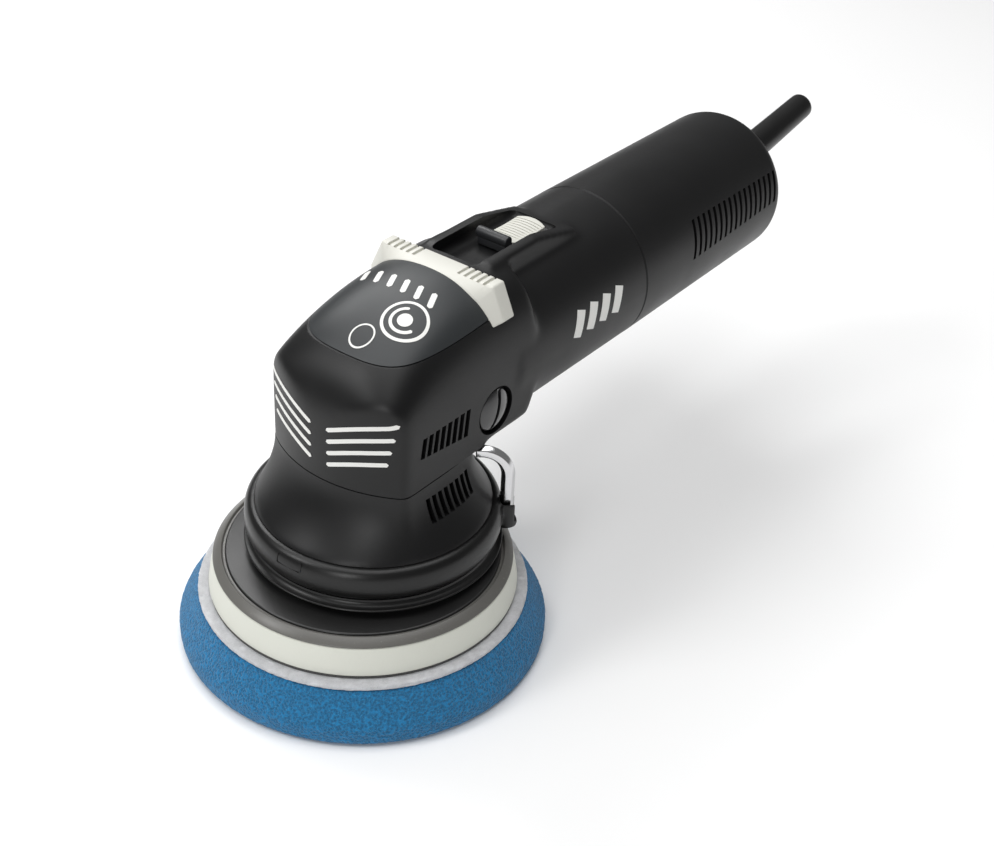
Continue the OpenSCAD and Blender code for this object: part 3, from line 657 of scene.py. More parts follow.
@dataclass
class Casing:
    """The head with its top panel and collar, and the front half of the grip."""

    bench: Bench
    nose: float = 31.5
    half_width: float = 34.0
    front_radius: float = 58.0
    head_rear: float = 59.0
    seam_z: float = 86.0
    top: float = 150.0
    grip_radius: float = GRIP_RADIUS
    motor_z: float = MOTOR_Z
    grip_end: float = GRIP_SEAM
    wall: float = WALL
    gap: float = 0.2
    deck_z: float = DECK_Z
    panel_rear: float = 36.0

    def form(self, inset: float, voxel: float) -> Object:
        """The outer form as one soft solid, or the cavity inside it.

        Args:
            inset: how far inside the outer form it lies.
            voxel: the size of its facets.

        Returns:
            The closed solid, which runs on past the joints with the skirt and the rear housing.
        """
        bench, width = self.bench, self.half_width - inset
        centre = self.front_radius - self.nose
        low = self.seam_z + inset
        swing = math.degrees(math.asin(self.half_width / self.front_radius))
        front = arc(centre, 0, self.front_radius - inset, self.front_radius - inset,
                    180 - swing, 180 + swing, 40)
        front = [(x, max(-width, min(width, y))) for x, y in front]
        plan = front + [(self.head_rear - inset, -width), (self.head_rear - inset, width)]
        head = bench.prism("form", plan, Axis.Z, 60, 160)
        bench.carve(head, Keep.INSIDE, self.bonnet(inset))
        bench.carve(head, Keep.OUTSIDE, bench.block("step", (27, -60, 50), (80, 60, low)))
        heel = [(54.0, low - 2), (62, low - 2), (62, low + 8), (59.2 - inset, low + 8)]
        bench.carve(head, Keep.OUTSIDE, bench.prism("heel", heel, Axis.Y, -60, 60))
        bench.soften(head, voxel, 1.7)
        grip = bench.round_bar("grip", (self.head_rear - 12, 0, self.motor_z),
                               (self.grip_end + 12, 0, self.motor_z), self.grip_radius - inset, 160)
        bay = [(48, 128), (48, self.top - inset), (80, self.top - inset),
               (106, self.motor_z + self.grip_radius - 1 - inset), (106, 128)]
        bench.carve(head, Keep.BOTH, grip, bench.prism("bay", bay, Axis.Y, -16.5 + inset, 16.5 - inset))
        bench.soften(head, voxel, 2.7)
        return head

    def bonnet(self, inset: float) -> Object:
        """Everything under the crowned top of the head, which falls away to nose and sides."""
        bench, columns = self.bench, 64
        bpy.ops.object.select_all(action="DESELECT")
        bpy.ops.mesh.primitive_grid_add(x_subdivisions=columns, y_subdivisions=columns, size=2)
        piece = bpy.context.object
        width, front, back = self.half_width - inset, -self.nose + inset, 74.0
        for vertex in piece.data.vertices:
            along, across = (vertex.co.x + 1) / 2, math.sin(math.pi / 2 * vertex.co.y)
            x = front + (back - front) * along ** 1.6
            run = max(0.0, 1 - (min(0.0, x - 32.0) / (32.0 - front)) ** 2)
            middle = 112 + (self.top - 112 - inset) * math.sqrt(run) - self.motor_z
            fall = max(0.0, 1 - abs(across) ** 2.8) ** (1 / 2.8)
            vertex.co = bench.at(x, width * across, self.motor_z + middle * fall)
        bench.hold(piece)
        bench.edit(lambda: bpy.ops.mesh.extrude_region_move(
            TRANSFORM_OT_translate={"value": (0, 0, -0.05)}))
        floor = bench.at(0, 0, 66).z
        for vertex in piece.data.vertices:
            if vertex.select:
                vertex.co.z = floor
        bench.close()
        return piece

    def above_joint(self, shift: float) -> Object:
        """A solid that holds everything above the panel's joint, moved up by shift."""
        def height(x: float) -> float:
            return 135 + shift + 0.06 * (x + 20)
        edge = self.panel_rear - shift
        return self.bench.prism("above", [(-45, height(-45)), (edge, height(edge)), (edge, 175),
                                          (-45, 175)], Axis.Y, -60, 60)

    @staticmethod
    def vent(number: int) -> Outline:
        """The outline of one leaning slot in the head's side, the front ones cut short below."""
        x, foot = -11.5 + number * 3.65, 99.9 - number * 0.45
        return [(x - 1.4, foot), (x + 1.1, foot - 0.4), (x + 2.45, 108.2), (x, 108.4)]

    def build(self) -> Object:
        """Makes the housing, the top panel and the plug recesses.

        Returns:
            The soft outer form, kept for the prints that lie on it.
        """
        bench = self.bench
        skin = self.form(0.0, 1.0)
        cavity = self.form(self.wall + 0.2, 2.0)

        def at_plug(side: int, near: float, far: float, radius: float) -> Object:
            """A round bar along the axis of the plug on one side."""
            return bench.round_bar("boss", (PLUG_X, side * near, PLUG_Z), (PLUG_X, side * far, PLUG_Z),
                                   radius)

        bench.carve(cavity, Keep.OUTSIDE, *[at_plug(side, 26, 36, 12.5) for side in (-1, 1)],
                    bench.block("deck", (42, -14, self.deck_z - 2), (104, 14, 160)))
        panel = bench.copy(skin, "top_panel_shell")
        housing = bench.copy(skin, "main_housing_shell")
        recess = bench.block("recess", (45, -11.5, self.deck_z), (100, 11.5, 165))
        bench.ease(recess, 3.2, 5, 60)
        slit = bench.block("slit", (69.8, -2.6, self.deck_z - 5), (90, 2.6, self.deck_z + 5))
        below = bench.block("below", (-80, -70, 30), (45, 70, self.seam_z + self.gap))
        behind = bench.block("behind", (self.grip_end, -60, 50), (190, 60, 170))
        edge = self.grip_radius
        lip = bench.lathe("lip", [(edge - 0.7, 134.5), (edge + 9, 134.5), (edge + 9, 136),
                                  (edge - 0.7, 136)], Axis.X, (0, 0, self.motor_z))
        holes = [at_plug(side, *bar) for side in (-1, 1) for bar in ((30.3, 45, 10.3), (20, 31, 6.1))]
        bench.carve(panel, Keep.INSIDE, self.above_joint(self.gap))
        bench.carve(panel, Keep.OUTSIDE, cavity, spare=True)
        bench.carve(housing, Keep.OUTSIDE, below, behind, lip, cavity, self.above_joint(-self.gap),
                    recess, slit, *holes, bench.slots(self.vent, 8, 29.0, 40.0))
        bench.deliver(housing, "housing_plastic", "housing", "main_housing")
        bench.deliver(panel, "panel_plastic", "housing", "top_panel")
        return skin


@dataclass
class Collar:
    """The pale collar for the palm, raised over the head behind the panel."""

    bench: Bench
    base_z: float = MOTOR_Z
    flat: float = 40.5
    corner: float = 27.5
    tip_angle: float = 39.5
    band: float = 35.5
    rear: float = 42.4

    def body(self, c: float, s: float) -> float:
        """Distance from the grip's axis to the head's own surface in one direction."""
        return ((abs(c) / 34.0) ** 2.8 + (s / 40.0) ** 2.8) ** (-1 / 2.8)

    def arch(self, c: float, s: float) -> float:
        """Distance to the collar's surface: a flat top between two leaning sides."""
        return min(self.flat / max(s, 0.01), (self.corner + 0.45 * self.flat) / (abs(c) + 0.45 * s))

    def ring(self, degrees: float) -> list[Triple]:
        """The collar's cross-section in one direction: a facet that climbs to a flat band."""
        c, s = math.cos(math.radians(degrees)), math.sin(math.radians(degrees))
        body, band = self.body(c, s), self.arch(c, s)
        out = abs(band * c) / 33.5
        front = 31.5 - 5.0 * out ** 2 + 6.5 * out ** 4
        profile = [(front, body - 1.6), (front, body + 0.05), (self.band, band),
                   (self.rear, band), (self.rear, body - 1.6)]
        return [(x, r * c, self.base_z + r * s) for x, r in profile]

    def build(self) -> None:
        """Makes the collar with five grip grooves on each shoulder."""
        bench, turns = self.bench, math.degrees(math.atan2(self.flat, self.corner))
        stops = [self.tip_angle, turns, 180 - turns, 180 - self.tip_angle]
        angles = [a + (b - a) * i / n for a, b, n in zip(stops, stops[1:], (12, 60, 12))
                  for i in range(n)]
        collar = bench.loft("palm_collar_moulding", [self.ring(a) for a in (*angles, stops[-1])])
        bench.ease(collar, 0.7, 4, 25)
        floor = self.base_z + self.flat - 1.1
        for y in [side * (11.2 + 3.1 * i) for side in (-1, 1) for i in range(5)]:
            bench.carve(collar, Keep.OUTSIDE, bench.block(
                "groove", (self.band - 0.5, y - 0.75, floor), (43.0, y + 0.75, 170)))
        bench.deliver(collar, "collar_plastic", "housing", "palm_collar")


@dataclass
class Prints:
    """The pale stripes, emblem and badge that are printed on the casing."""

    bench: Bench
    skin: Object
    thickness: float = 0.14

    def band(self, name: str, path: Outline, half_width: Callable[[float], float], closed: bool,
             place: Callable[[float, float], Triple]) -> Object:
        """A flat band along a path in a plane.

        Args:
            name: the new object's name.
            path: the points of its middle line.
            half_width: half of its width, from how far along it is, 0 to 1.
            closed: whether the path returns to its start.
            place: turns plane coordinates into a point of the head.

        Returns:
            The flat mesh.
        """
        rows, count, points, faces = 5, len(path), [], []
        for i, (a, b) in enumerate(path):
            before = path[i - 1] if closed or i else path[i]
            after = path[(i + 1) % count] if closed or i < count - 1 else path[i]
            along = Vector((after[0] - before[0], after[1] - before[1])).normalized()
            for row in range(rows):
                off = half_width(i / (count - 1)) * (2 * row / (rows - 1) - 1)
                points.append(place(a - along.y * off, b + along.x * off))
        for i in range(count if closed else count - 1):
            for row in range(rows - 1):
                j = (i + 1) % count
                faces.append((i * rows + row, j * rows + row, j * rows + row + 1, i * rows + row + 1))
        return self.bench.from_points(name, points, faces=faces)

    @staticmethod
    def rounded(width: float, length: float) -> Callable[[float], float]:
        """Half of the width of a bar with round ends."""
        def half(t: float) -> float:
            inward = min(t, 1 - t) * length / (width / 2)
            return width / 2 * math.sqrt(max(0.0, 1 - (1 - min(1.0, inward)) ** 2)) + 0.02
        return half

    def stripes(self) -> None:
        """Four stripes on each side of the nose, the top one turned up at its end."""
        made = []
        for side in (-1, 1):
            for i in range(4):
                length, start, rise = 24.4 + 1.1 * i, 93.8 + 5.15 * i, 7.2 + 0.45 * i
                path = []
                for k in range(41):
                    t = k / 40
                    flick = 0.8 * max(0.0, (t - 0.86) / 0.14) ** 2 if i == 3 else 0.0
                    lift = rise * (t + 0.12 * math.sin(math.pi * t))
                    path.append((side * (3.8 + length * t), start + lift + flick))
                made.append(self.band("stripe", path, self.rounded(1.7, length), False,
                                      lambda y, z: (-45.0, y, z)))
        piece = self.bench.join(made)
        piece.name = "nose_stripes"
        self.bench.print_on(piece, self.skin, Axis.X, 1, self.thickness)
        self.bench.deliver(piece, "print_white", "housing", "front_stripes")

    def emblem(self) -> None:
        """A ring with a dot, a small ring before it and a row of slanted bars behind it."""
        def loop(x: float, y: float, radius: float) -> list:
            return arc(x, y, radius, radius, 0, 360, 72)[:-1]

        def above(x: float, y: float) -> Triple:
            return x, y, 170.0
        made = [self.band("ring", loop(2.5, -12.5, 8.6), lambda t: 0.6, True, above),
                self.band("dot", loop(2.5, -12.5, 1.5), lambda t: 1.45, True, above),
                self.band("arc", arc(2.5, -12.5, 5.4, 5.4, 20, 250, 60), self.rounded(1.2, 22), False,
                          above),
                self.band("small_ring", loop(-10.5, -3, 4.6), lambda t: 0.32, True, above)]
        for i in range(6):
            y = -15.5 + 6.6 * i
            path = [(12.6 + 7.6 * k / 12, y + 3.2 * k / 12) for k in range(13)]
            made.append(self.band("bar", path, self.rounded(2.2, 8.2), False, above))
        piece = self.bench.join(made)
        piece.name = "panel_emblem_print"
        self.bench.print_on(piece, self.skin, Axis.Z, -1, self.thickness)
        self.bench.deliver(piece, "print_white", "housing", "panel_emblem")

    def badge(self) -> None:
        """Four slanted bars on the side of the grip."""
        made = []
        for i in range(4):
            middle, lean = 86.0 + 9.0 * i, 2.0
            path = [(middle - lean + 2 * lean * k / 16, 109.7 + 10.6 * k / 16) for k in range(17)]
            made.append(self.band("bar", path, lambda t: 2.6, False, lambda x, z: (x, -50.0, z)))
        piece = self.bench.join(made)
        piece.name = "grip_badge"
        self.bench.print_on(piece, self.skin, Axis.Y, 1, self.thickness)
        self.bench.deliver(piece, "print_white", "housing", "side_badge")

    def build(self) -> None:
        """Makes all prints."""
        self.stripes()
        self.emblem()
        self.badge()


@dataclass
class Skirt:
    """The skirt between head and bumper: the head's outline flares out to a circle."""

    bench: Bench
    casing: Casing
    foot_radius: float = 47.7
    foot_z: float = 61.3
    rear: float = 33.0
    wall: float = WALL
    steps: int = 144

    def neck(self, turn: float, inset: float) -> float:
        """Distance from the spindle axis to the neck's outline in one direction."""
        c, s = math.cos(turn), abs(math.sin(turn))
        width = self.casing.half_width - inset
        if c >= 0:
            return ((c / (self.rear - inset)) ** 3 + (s / width) ** 3) ** (-1 / 3)
        centre = self.casing.front_radius - self.casing.nose
        radius = self.casing.front_radius - inset
        front = centre * c + math.sqrt((centre * c) ** 2 + radius ** 2 - centre ** 2)
        return min(front, width / max(s, 0.1))

    def form(self, inset: float, voxel: float) -> Object:
        """The skirt as a soft solid that runs on above its joint and below its foot."""
        levels = [(self.casing.seam_z + 9, 1.0)]
        levels += [(self.foot_z + (self.casing.seam_z - self.foot_z) * (1 - i / 20), 1 - i / 20)
                   for i in range(21)]
        levels += [(self.foot_z - 8, 0.0)]
        rings = []
        for z, up in levels:
            flare = (1 - up) ** 1.7
            ring = []
            for i in range(self.steps):
                turn = math.tau * i / self.steps
                radius = self.neck(turn, inset) * (1 - flare) + (self.foot_radius - inset) * flare
                ring.append((radius * math.cos(turn), radius * math.sin(turn), z))
            rings.append(ring)
        solid = self.bench.loft("skirt_form", rings)
        self.bench.soften(solid, voxel, 2.5)
        return solid

    @staticmethod
    def vent(number: int) -> Outline:
        """The outline of one slot in the skirt's side."""
        x = -9.6 + 3.45 * number
        return [(x - 1.2, 71.6), (x + 1.1, 71.3), (x + 1.4, 80.5), (x - 0.8, 80.7)]

    def build(self) -> None:
        """Makes the skirt with eight vents on each side."""
        bench = self.bench
        skirt = self.form(0.0, 1.0)
        skirt.name = "vented_skirt"
        bench.carve(skirt, Keep.INSIDE, bench.block(
            "span", (-70, -70, self.foot_z), (70, 70, self.casing.seam_z - self.casing.gap)))
        bench.carve(skirt, Keep.OUTSIDE, self.form(self.wall, 2.0), bench.slots(self.vent, 8, 25.0, 48.0))
        bench.deliver(skirt, "housing_plastic", "housing", "skirt")


@dataclass
class Bumper:
    """The rubber bumper ring with the key's clip, and the dust lip under it."""

    bench: Bench
    radius: float = 51.5
    low: float = 47.0
    high: float = 61.3
    key_turn: float = -49.5
    key_distance: float = 53.0
    key_width: float = 5.0

    def key_point(self, distance: float, across: float, z: float) -> Triple:
        """A point at a distance from the spindle in the key's direction."""
        turn = math.radians(self.key_turn)
        return (distance * math.cos(turn) - across * math.sin(turn),
                distance * math.sin(turn) + across * math.cos(turn), z)

    def ring(self) -> None:
        """Makes the ring with its clip and the small outline moulded on its front."""
        bench, middle = self.bench, (self.low + self.high) / 2
        half = (self.high - self.low) / 2
        bulge = [(46.6 + x * 4.9, middle + half * z) for z, x in crown(1.0, 1.0, 2.5, 32)]
        ring = bench.lathe("bumper_ring_rubber", bulge, steps=160)
        base = self.key_point(self.key_distance, 0, self.low)
        clip = bench.round_bar("clip", base, (base[0], base[1], self.low + 11.5), 4.7, 48)
        bench.carve(ring, Keep.BOTH, clip)
        slot = [self.key_point(self.key_distance + d, w, self.low + 2) for d, w in
                ((0, -2.8), (20, -2.8), (20, 2.8), (0, 2.8))]
        slit = bench.loft("slit", [slot, [(x, y, z + 20) for x, y, z in slot]])
        well = bench.round_bar("well", (base[0], base[1], self.low + 2),
                               (base[0], base[1], self.low + 22), 3.3, 48)
        bench.carve(ring, Keep.OUTSIDE, well, slit)
        bench.soften(ring, 0.7, 0.7)
        mark = Prints(bench, ring).band("mark", [
            *arc(3.3, 59.0, 0.7, 0.5, 0, 90, 4), *arc(-6.9, 59.0, 0.7, 0.5, 90, 180, 4),
            *arc(-6.9, 56.0, 0.7, 0.5, 180, 270, 4), *arc(3.3, 56.0, 0.7, 0.5, 270, 360, 4)],
            lambda t: 0.2, True, lambda y, z: (-70.0, y, z))
        bench.print_on(mark, ring, Axis.X, 1, 0.3)
        bench.deliver(bench.join([ring, mark]), "soft_rubber", "housing", "bumper_ring")

    def lip(self) -> None:
        """Makes the dust lip with its bead and its fine outer edge."""
        r = self.radius
        profile = [(r - 5, 43.2), (r - 0.8, 43.2), *arc(r - 0.2, 43.6, 0.6, 0.45, -90, 90, 6),
                   (r - 1.2, 44.3), (r - 2.2, 44.9), (r - 2.6, 45.6), (r - 2.2, 46.2),
                   (r - 2.4, self.low), (r - 5, self.low)]
        lip = self.bench.lathe("dust_lip_rubber", profile, steps=160)
        self.bench.deliver(lip, "soft_rubber", "housing", "dust_lip")

    def key(self) -> None:
        """Makes the bent hexagon key that stands in the clip."""
        corner, bend = self.key_width / math.sqrt(3), 11.2
        foot, knee = self.low + 2.3, 71.0
        line = [(0.0, foot, 0.0), (0.0, knee, 0.0)]
        line += [(-bend + bend * math.cos(t), knee + bend * math.sin(t), t)
                 for t in (math.pi / 2 * i / 16 for i in range(1, 17))]
        line.append((-bend - 2, knee + bend, math.pi / 2))
        rings = []
        for off, z, tilt in line:
            ring = []
            for i in range(6):
                a = math.tau * i / 6
                out, across = corner * math.cos(a), corner * math.sin(a)
                ring.append(self.key_point(self.key_distance + off + out * math.cos(tilt), across,
                                           z + out * math.sin(tilt)))
            rings.append(ring)
        key = self.bench.loft("bent_hex_key", rings)
        self.bench.ease(key, 0.35, 3, 45)
        self.bench.deliver(key, "bright_steel", "key", "hex_key")

    def build(self) -> None:
        """Makes the ring, the lip and the key."""
        self.ring()
        self.lip()
        self.key()


@dataclass
class BackingPlate:
    """The backing plate: stiff disc, bevelled rim and pale cushion layer."""

    bench: Bench
    radius: float = 62.4
    cushion_z: float = 24.5
    disc_z: float = 36.5
    top: float = 39.6

    def build(self) -> None:
        """Makes the three layers."""
        r, low, high = self.radius, self.cushion_z, self.disc_z
        cushion = self.bench.lathe("plate_cushion_layer", [
            (10, low), (r - 0.9, low), *arc(r - 0.9, low + 0.9, 0.9, 0.9, -90, 0, 6),
            (r - 0.35, low + 3), (r - 1.0, low + 7), *arc(r - 2.9, high - 0.9, 0.9, 0.9, 10, 90, 6),
            (10, high)], steps=192)
        self.bench.deliver(cushion, "cushion_foam", "pad", "plate_cushion")
        rim = self.bench.lathe("plate_rim_ring", [
            (r - 7, high), (r - 2.5, high), *arc(r - 2.6, high + 0.5, 0.5, 0.5, -60, 45, 5),
            (r - 5.0, self.top - 0.35), (r - 5.5, self.top - 0.1), (r - 5.9, self.top - 0.35),
            (r - 6.2, self.top - 0.9), (r - 7, self.top - 0.9)], steps=192)
        self.bench.deliver(rim, "rim_plastic", "pad", "plate_rim")
        disc = self.bench.lathe("backing_disc_moulding", [
            (4.1, high - 6), (9.9, high - 6), (9.9, high), (r - 7.1, high), (r - 7.1, self.top - 0.8),
            *arc(r - 7.8, self.top - 0.7, 0.7, 0.7, 0, 90, 5), (4.1, self.top)], steps=192)
        self.bench.deliver(disc, "disc_plastic", "pad", "backing_disc")


@dataclass
class FoamPad:
    """The foam pad and its loop layer, roughened as open foam and brushed cloth are."""

    bench: Bench
    radius: float = 75.0
    top_radius: float = 66.6
    height: float = 21.0
    layer: float = 2.4

    def rough(self, piece: Object, grain_mm: float, depth_mm: float, floor_mm: float) -> None:
        """Moves the surface in and out by fine noise, but never below a floor.

        Args:
            piece: the piece.
            grain_mm: the size of the lumps.
            depth_mm: how far the surface moves in all.
            floor_mm: the lowest height that stays.
        """
        noise = bpy.data.textures.new("foam_noise", "CLOUDS")
        noise.noise_scale, noise.noise_depth = grain_mm * MM, 2
        self.bench.modify(piece, "DISPLACE", texture=noise, texture_coords="LOCAL",
                          strength=depth_mm * MM, mid_level=0.6)
        for vertex in piece.data.vertices:
            vertex.co.z = max(vertex.co.z, floor_mm * MM)

    def build(self) -> None:
        """Makes the pad and the layer."""
        r, top = self.radius, self.top_radius
        side = [(r - 0.2, 8.0), (r - 0.9, 9.6)]
        side += [(r - 0.9 + (top + 0.6 - r + 0.9) * i / 22, 9.6 + (self.height - 10.2) * i / 22)
                 for i in range(1, 23)]
        face = [(r * i / 30, 0.0) for i in range(29)]
        back = [(top * (1 - i / 12), self.height) for i in range(13)]
        pad = self.bench.lathe("polishing_foam_pad", [
            *face, *arc(r - 3.4, 3.6, 3.3, 3.6, -80, 0, 10), (r, 5.4), (r, 7.0), *side, *back], steps=420)
        self.rough(pad, 0.9, 0.5, 0.0)
        self.bench.deliver(pad, "foam", "pad", "foam_pad", angle=80.0)
        low, high = self.height + 0.05, self.height + self.layer
        cloth = self.bench.lathe("pad_loop_cloth", [
            (0, low), *[(top * i / 10, low) for i in range(1, 10)], (top - 0.4, low),
            *arc(top - 0.7, (low + high) / 2, 0.9, (high - low) / 2, -80, 80, 10),
            *[(top - 1 - 0.9 * i, high) for i in range(8)], (30, high), (0, high)], steps=420)
        self.rough(cloth, 0.8, 0.55, self.height)
        self.bench.deliver(cloth, "loop_fabric", "pad", "pad_loop_layer", angle=80.0)


@dataclass
class SwitchGear:
    """The ribbed slide switch with its bar, and the slotted plugs on the sides of the head."""

    bench: Bench
    deck: float = DECK_Z
    half_width: float = 7.0
    bar_x: float = 71.3
    bar_lift: float = 5.2

    def slider(self) -> None:
        """Makes the slider with its ribs across, its crowned top and its tongue."""
        bench, deck = self.bench, self.deck
        rings = []
        for x, top in ((75, 3.4), (75.6, 3.3), (77, 2.6), (80, 2.1), (86, 1.9), (92, 2.0), (98, 2.3)):
            rise = min(0.9, 0.06 * max(0.0, x - 76))
            back = 1.6 if x == 98 else 0.0
            across = [self.half_width * (1 - i / 12) for i in range(25)]
            outs = [(y / self.half_width) ** 2 for y in across]
            ring = [(x - back * out, y, out) for y, out in zip(across, outs)]
            rings.append([(at, y, deck + top + rise * (1 - out)) for at, y, out in ring]
                         + [(at, y, deck + 0.3) for at, y, _ in reversed(ring)])
        slider = bench.loft("ribbed_switch_slider", rings)
        bench.carve(slider, Keep.BOTH,
                    bench.block("tongue", (80.5, -2.2, deck - 3), (88.5, 2.2, deck + 1)))
        bench.ease(slider, 0.4, 3, 50)
        ribs = [bench.block("rib", (x, -8, deck + 2.0), (x + 0.5, 8, deck + 6))
                for x in (80.4 + 1.8 * i for i in range(9))]
        bench.carve(slider, Keep.OUTSIDE, *ribs)
        bench.deliver(slider, "collar_plastic", "switch", "switch_slider")

    def bar(self) -> None:
        """Makes the round bar that stands on a foot at the slider's front end."""
        profile = [(0, -7.7), *arc(1.7, -7.1, 0.6, 0.6, -90, 0, 4), (2.3, 7.1),
                   *arc(1.7, 7.1, 0.6, 0.6, 0, 90, 4), (0, 7.7)]
        bar = self.bench.lathe("switch_bar", profile, Axis.Y,
                               (self.bar_x, 0, self.deck + self.bar_lift), 48)
        foot = self.bench.block("foot", (69.6, -6.9, self.deck + 0.3), (74.9, 6.9, self.deck + 3.5))
        self.bench.ease(foot, 0.5, 2)
        self.bench.carve(bar, Keep.BOTH, foot)
        self.bench.deliver(bar, "bar_plastic", "switch", "slider_bar")

    def plugs(self) -> None:
        """Makes the domed plugs with a screwdriver slot."""
        made = []
        for side in (-1, 1):
            base = side * 28
            dome = [(0, 0), (5.9, 0), (5.9, side * 2.4), (8.6, side * 2.4), (8.8, side * 2.8)]
            dome += [(r, side * z) for r, z in arc(0, -13.2, 20.4, 20.4, 64.5, 90, 14)]
            plug = self.bench.lathe("plug", dome, Axis.Y, (PLUG_X, base, PLUG_Z), 72)
            slot = self.bench.loft("slot", [
                [(PLUG_X + a * 0.26 - b, y, PLUG_Z + a * 0.966 + b * 0.26) for a, b in
                 ((-12, -0.9), (12, -0.9), (12, 0.9), (-12, 0.9))]
                for y in (base + side * 5, base + side * 9)])
            self.bench.carve(plug, Keep.OUTSIDE, slot)
            self.bench.ease(plug, 0.25, 2, 50)
            made.append(plug)
        piece = self.bench.join(made)
        piece.name = "slotted_plugs"
        self.bench.deliver(piece, "plug_plastic", "housing", "side_plugs")

    def build(self) -> None:
        """Makes the slider, the bar and the plugs."""
        self.slider()
        self.bar()
        self.plugs()


@dataclass
class RearGrip:
    """The rear half of the grip with its vents, and the cord boot."""

    bench: Bench
    start: float = GRIP_SEAM + 0.2
    end: float = 253.0
    radius: float = GRIP_RADIUS
    motor_z: float = MOTOR_Z
    wall: float = WALL
    bend: float = 8.0
    tilt: float = 9.0
    boot: float = 79.0

    def shell(self, inset: float) -> list:
        """The outline of the rear housing, smaller by an inset."""
        end_radius = self.radius - 0.8
        corner = arc(end_radius - self.bend, self.end - self.bend, self.bend - inset, self.bend - inset,
                     0, 90, 12)
        return [(self.radius - inset, self.start + 0.6), *corner, (14, self.end - inset + 0.25),
                (0, self.end - inset + 0.3)]

    @staticmethod
    def vent(number: int) -> Outline:
        """The outline of one leaning slot at the rear of the grip."""
        x, foot, head = 173.4 + 4.36 * number, 109.6 + 0.14 * number, 126.8 - 0.06 * number
        return [(x - 0.95, foot), (x + 0.95, foot), (x + 2.9, head), (x + 1.0, head)]

    def housing(self) -> None:
        """Makes the rear housing with seventeen vents on each side."""
        bench = self.bench
        profile = [(self.radius - 0.6, self.start), *self.shell(0.0), *reversed(self.shell(self.wall)),
                   (self.radius - self.wall, self.start)]
        housing = bench.lathe("rear_housing_shell", profile, Axis.X, (0, 0, self.motor_z), 192)
        dial = bench.block("dial_slot", (222, -5.2, 70), (244, 5.2, 82))
        hole = self.tilted(bench.round_bar("boot_hole", (243, 0, 111.4), (263, 0, 111.4), 8.15))
        bench.carve(housing, Keep.OUTSIDE, bench.slots(self.vent, 17, 20.0, 45.0), dial, hole)
        bench.deliver(housing, "housing_plastic", "housing", "rear_housing")

    def tilted(self, piece: Object) -> Object:
        """Turns a piece made along X upwards about the boot's root."""
        root = Matrix.Translation(self.bench.at(self.end - 4, 0, self.motor_z + 1.4))
        turn = Matrix.Rotation(math.radians(-self.tilt), 4, "Y")
        piece.data.transform(root @ turn @ root.inverted())
        return piece

    def cord_boot(self) -> None:
        """Makes the tapered rubber boot with its bead and open end."""
        length = self.boot
        taper = [(7.6 - 1.25 * ((x - 6) / (length - 9)) ** 0.8, x)
                 for x in [6 + (length - 9) * i / 24 for i in range(25)]]
        profile = [(4.1, -3.6), (10, -3.6), (10, -0.6), (8, -0.4), (8, 3.2), (7.7, 4.0), *taper,
                   *arc(4.9, length - 1.6, 1.4, 1.6, 20, 90, 6), (4.1, length)]
        boot = self.bench.lathe("cord_boot_rubber", profile, Axis.X,
                                (self.end - 4, 0, self.motor_z + 1.4), 96)
        self.tilted(boot)
        self.bench.deliver(boot, "soft_rubber", "housing", "cord_boot")

    def build(self) -> None:
        """Makes the housing and the boot."""
        self.housing()
        self.cord_boot()


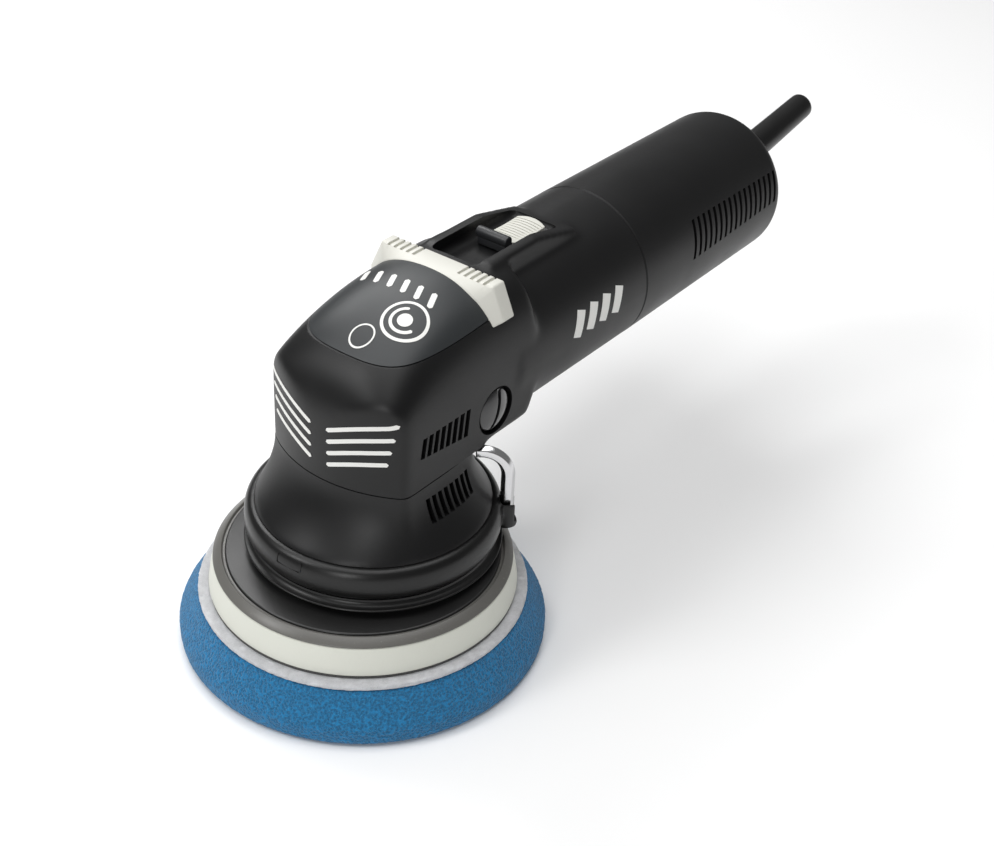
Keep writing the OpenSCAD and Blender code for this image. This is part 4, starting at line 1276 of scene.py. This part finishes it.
@dataclass
class Studio:
    """A pale floor, soft lights and the camera."""

    target: Triple = (0.0838, -0.0018, 0.0562)
    azimuth: float = -53.88
    elevation: float = 33.98
    roll: float = 3.05
    distance: float = 0.725
    lens: float = 61.16

    def camera(self) -> None:
        """Places the camera on a sphere round its target and rolls it."""
        a, e = math.radians(self.azimuth), math.radians(self.elevation)
        away = Vector((math.sin(a) * math.cos(e), -math.cos(a) * math.cos(e), math.sin(e)))
        lens = bpy.data.cameras.new("camera")
        lens.lens, lens.sensor_width, lens.clip_start = self.lens, 36.0, 0.01
        eye = bpy.data.objects.new("camera", lens)
        bpy.context.scene.collection.objects.link(eye)
        turn = (-away).to_track_quat("-Z", "Y").to_matrix()
        turn = turn @ Matrix.Rotation(math.radians(self.roll), 3, "Z")
        eye.matrix_world = Matrix.Translation(Vector(self.target) + away * self.distance) @ turn.to_4x4()
        bpy.context.scene.camera = eye

    def lamp(self, name: str, place: Triple, watts: float, size: tuple[float, float]) -> None:
        """A rectangular soft light aimed at the machine."""
        light = bpy.data.lights.new(name, "AREA")
        light.shape, light.energy = "RECTANGLE", watts
        light.size, light.size_y = size
        lamp = bpy.data.objects.new(name, light)
        lamp.location = place
        aim = Vector((0.08, 0, 0.07)) - Vector(place)
        lamp.rotation_euler = aim.to_track_quat("-Z", "Y").to_euler()
        bpy.context.scene.collection.objects.link(lamp)

    def build(self) -> None:
        """Makes the floor, the lights, the surroundings and the camera."""
        bpy.ops.object.select_all(action="DESELECT")
        bpy.ops.mesh.primitive_plane_add(size=14)
        floor = bpy.context.object
        floor.name = "floor"
        graph = Graph("pale_floor")
        tone = graph.mixed(graph.noise(300.0, 2.0), (0.93, 0.93, 0.93), (0.96, 0.96, 0.96))
        floor.data.materials.append(graph.finish(tone, 0.7))
        world = bpy.data.worlds.new("studio")
        world.use_nodes = True
        world.node_tree.nodes["Background"].inputs["Color"].default_value = (1, 1, 1, 1)
        world.node_tree.nodes["Background"].inputs["Strength"].default_value = 0.20
        bpy.context.scene.world = world
        self.lamp("ceiling_light", (0.1, 0.1, 1.7), 24.0, (1.8, 1.8))
        self.lamp("key_light", (-0.9, 0.7, 1.2), 6.0, (0.4, 0.4))
        self.lamp("nose_light", (-1.1, -0.35, 0.55), 3.5, (0.2, 0.6))
        self.lamp("grip_light", (0.5, 0.9, 1.0), 6.0, (0.9, 0.3))
        self.camera()
        bpy.context.scene.view_settings.view_transform = "Standard"


def main() -> None:
    """Builds the machine piece by piece and sets it in the studio."""
    logging.basicConfig(level=logging.INFO, format="%(name)s: %(message)s")
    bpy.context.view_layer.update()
    palette = Palette()
    palette.coat_nodes()
    low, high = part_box("spindle")
    orbit = (low.x + high.x) / 2 / MM
    head = Bench(palette, orbit)
    pad = Bench(palette, 0.0)
    casing = Casing(head)
    skin = casing.build()
    Collar(head).build()
    Prints(head, skin).build()
    bpy.data.objects.remove(skin)
    Skirt(head, casing).build()
    Bumper(head).build()
    BackingPlate(pad).build()
    FoamPad(pad).build()
    SwitchGear(head).build()
    RearGrip(head).build()
    Studio().build()


if __name__ == "__main__":
    main()
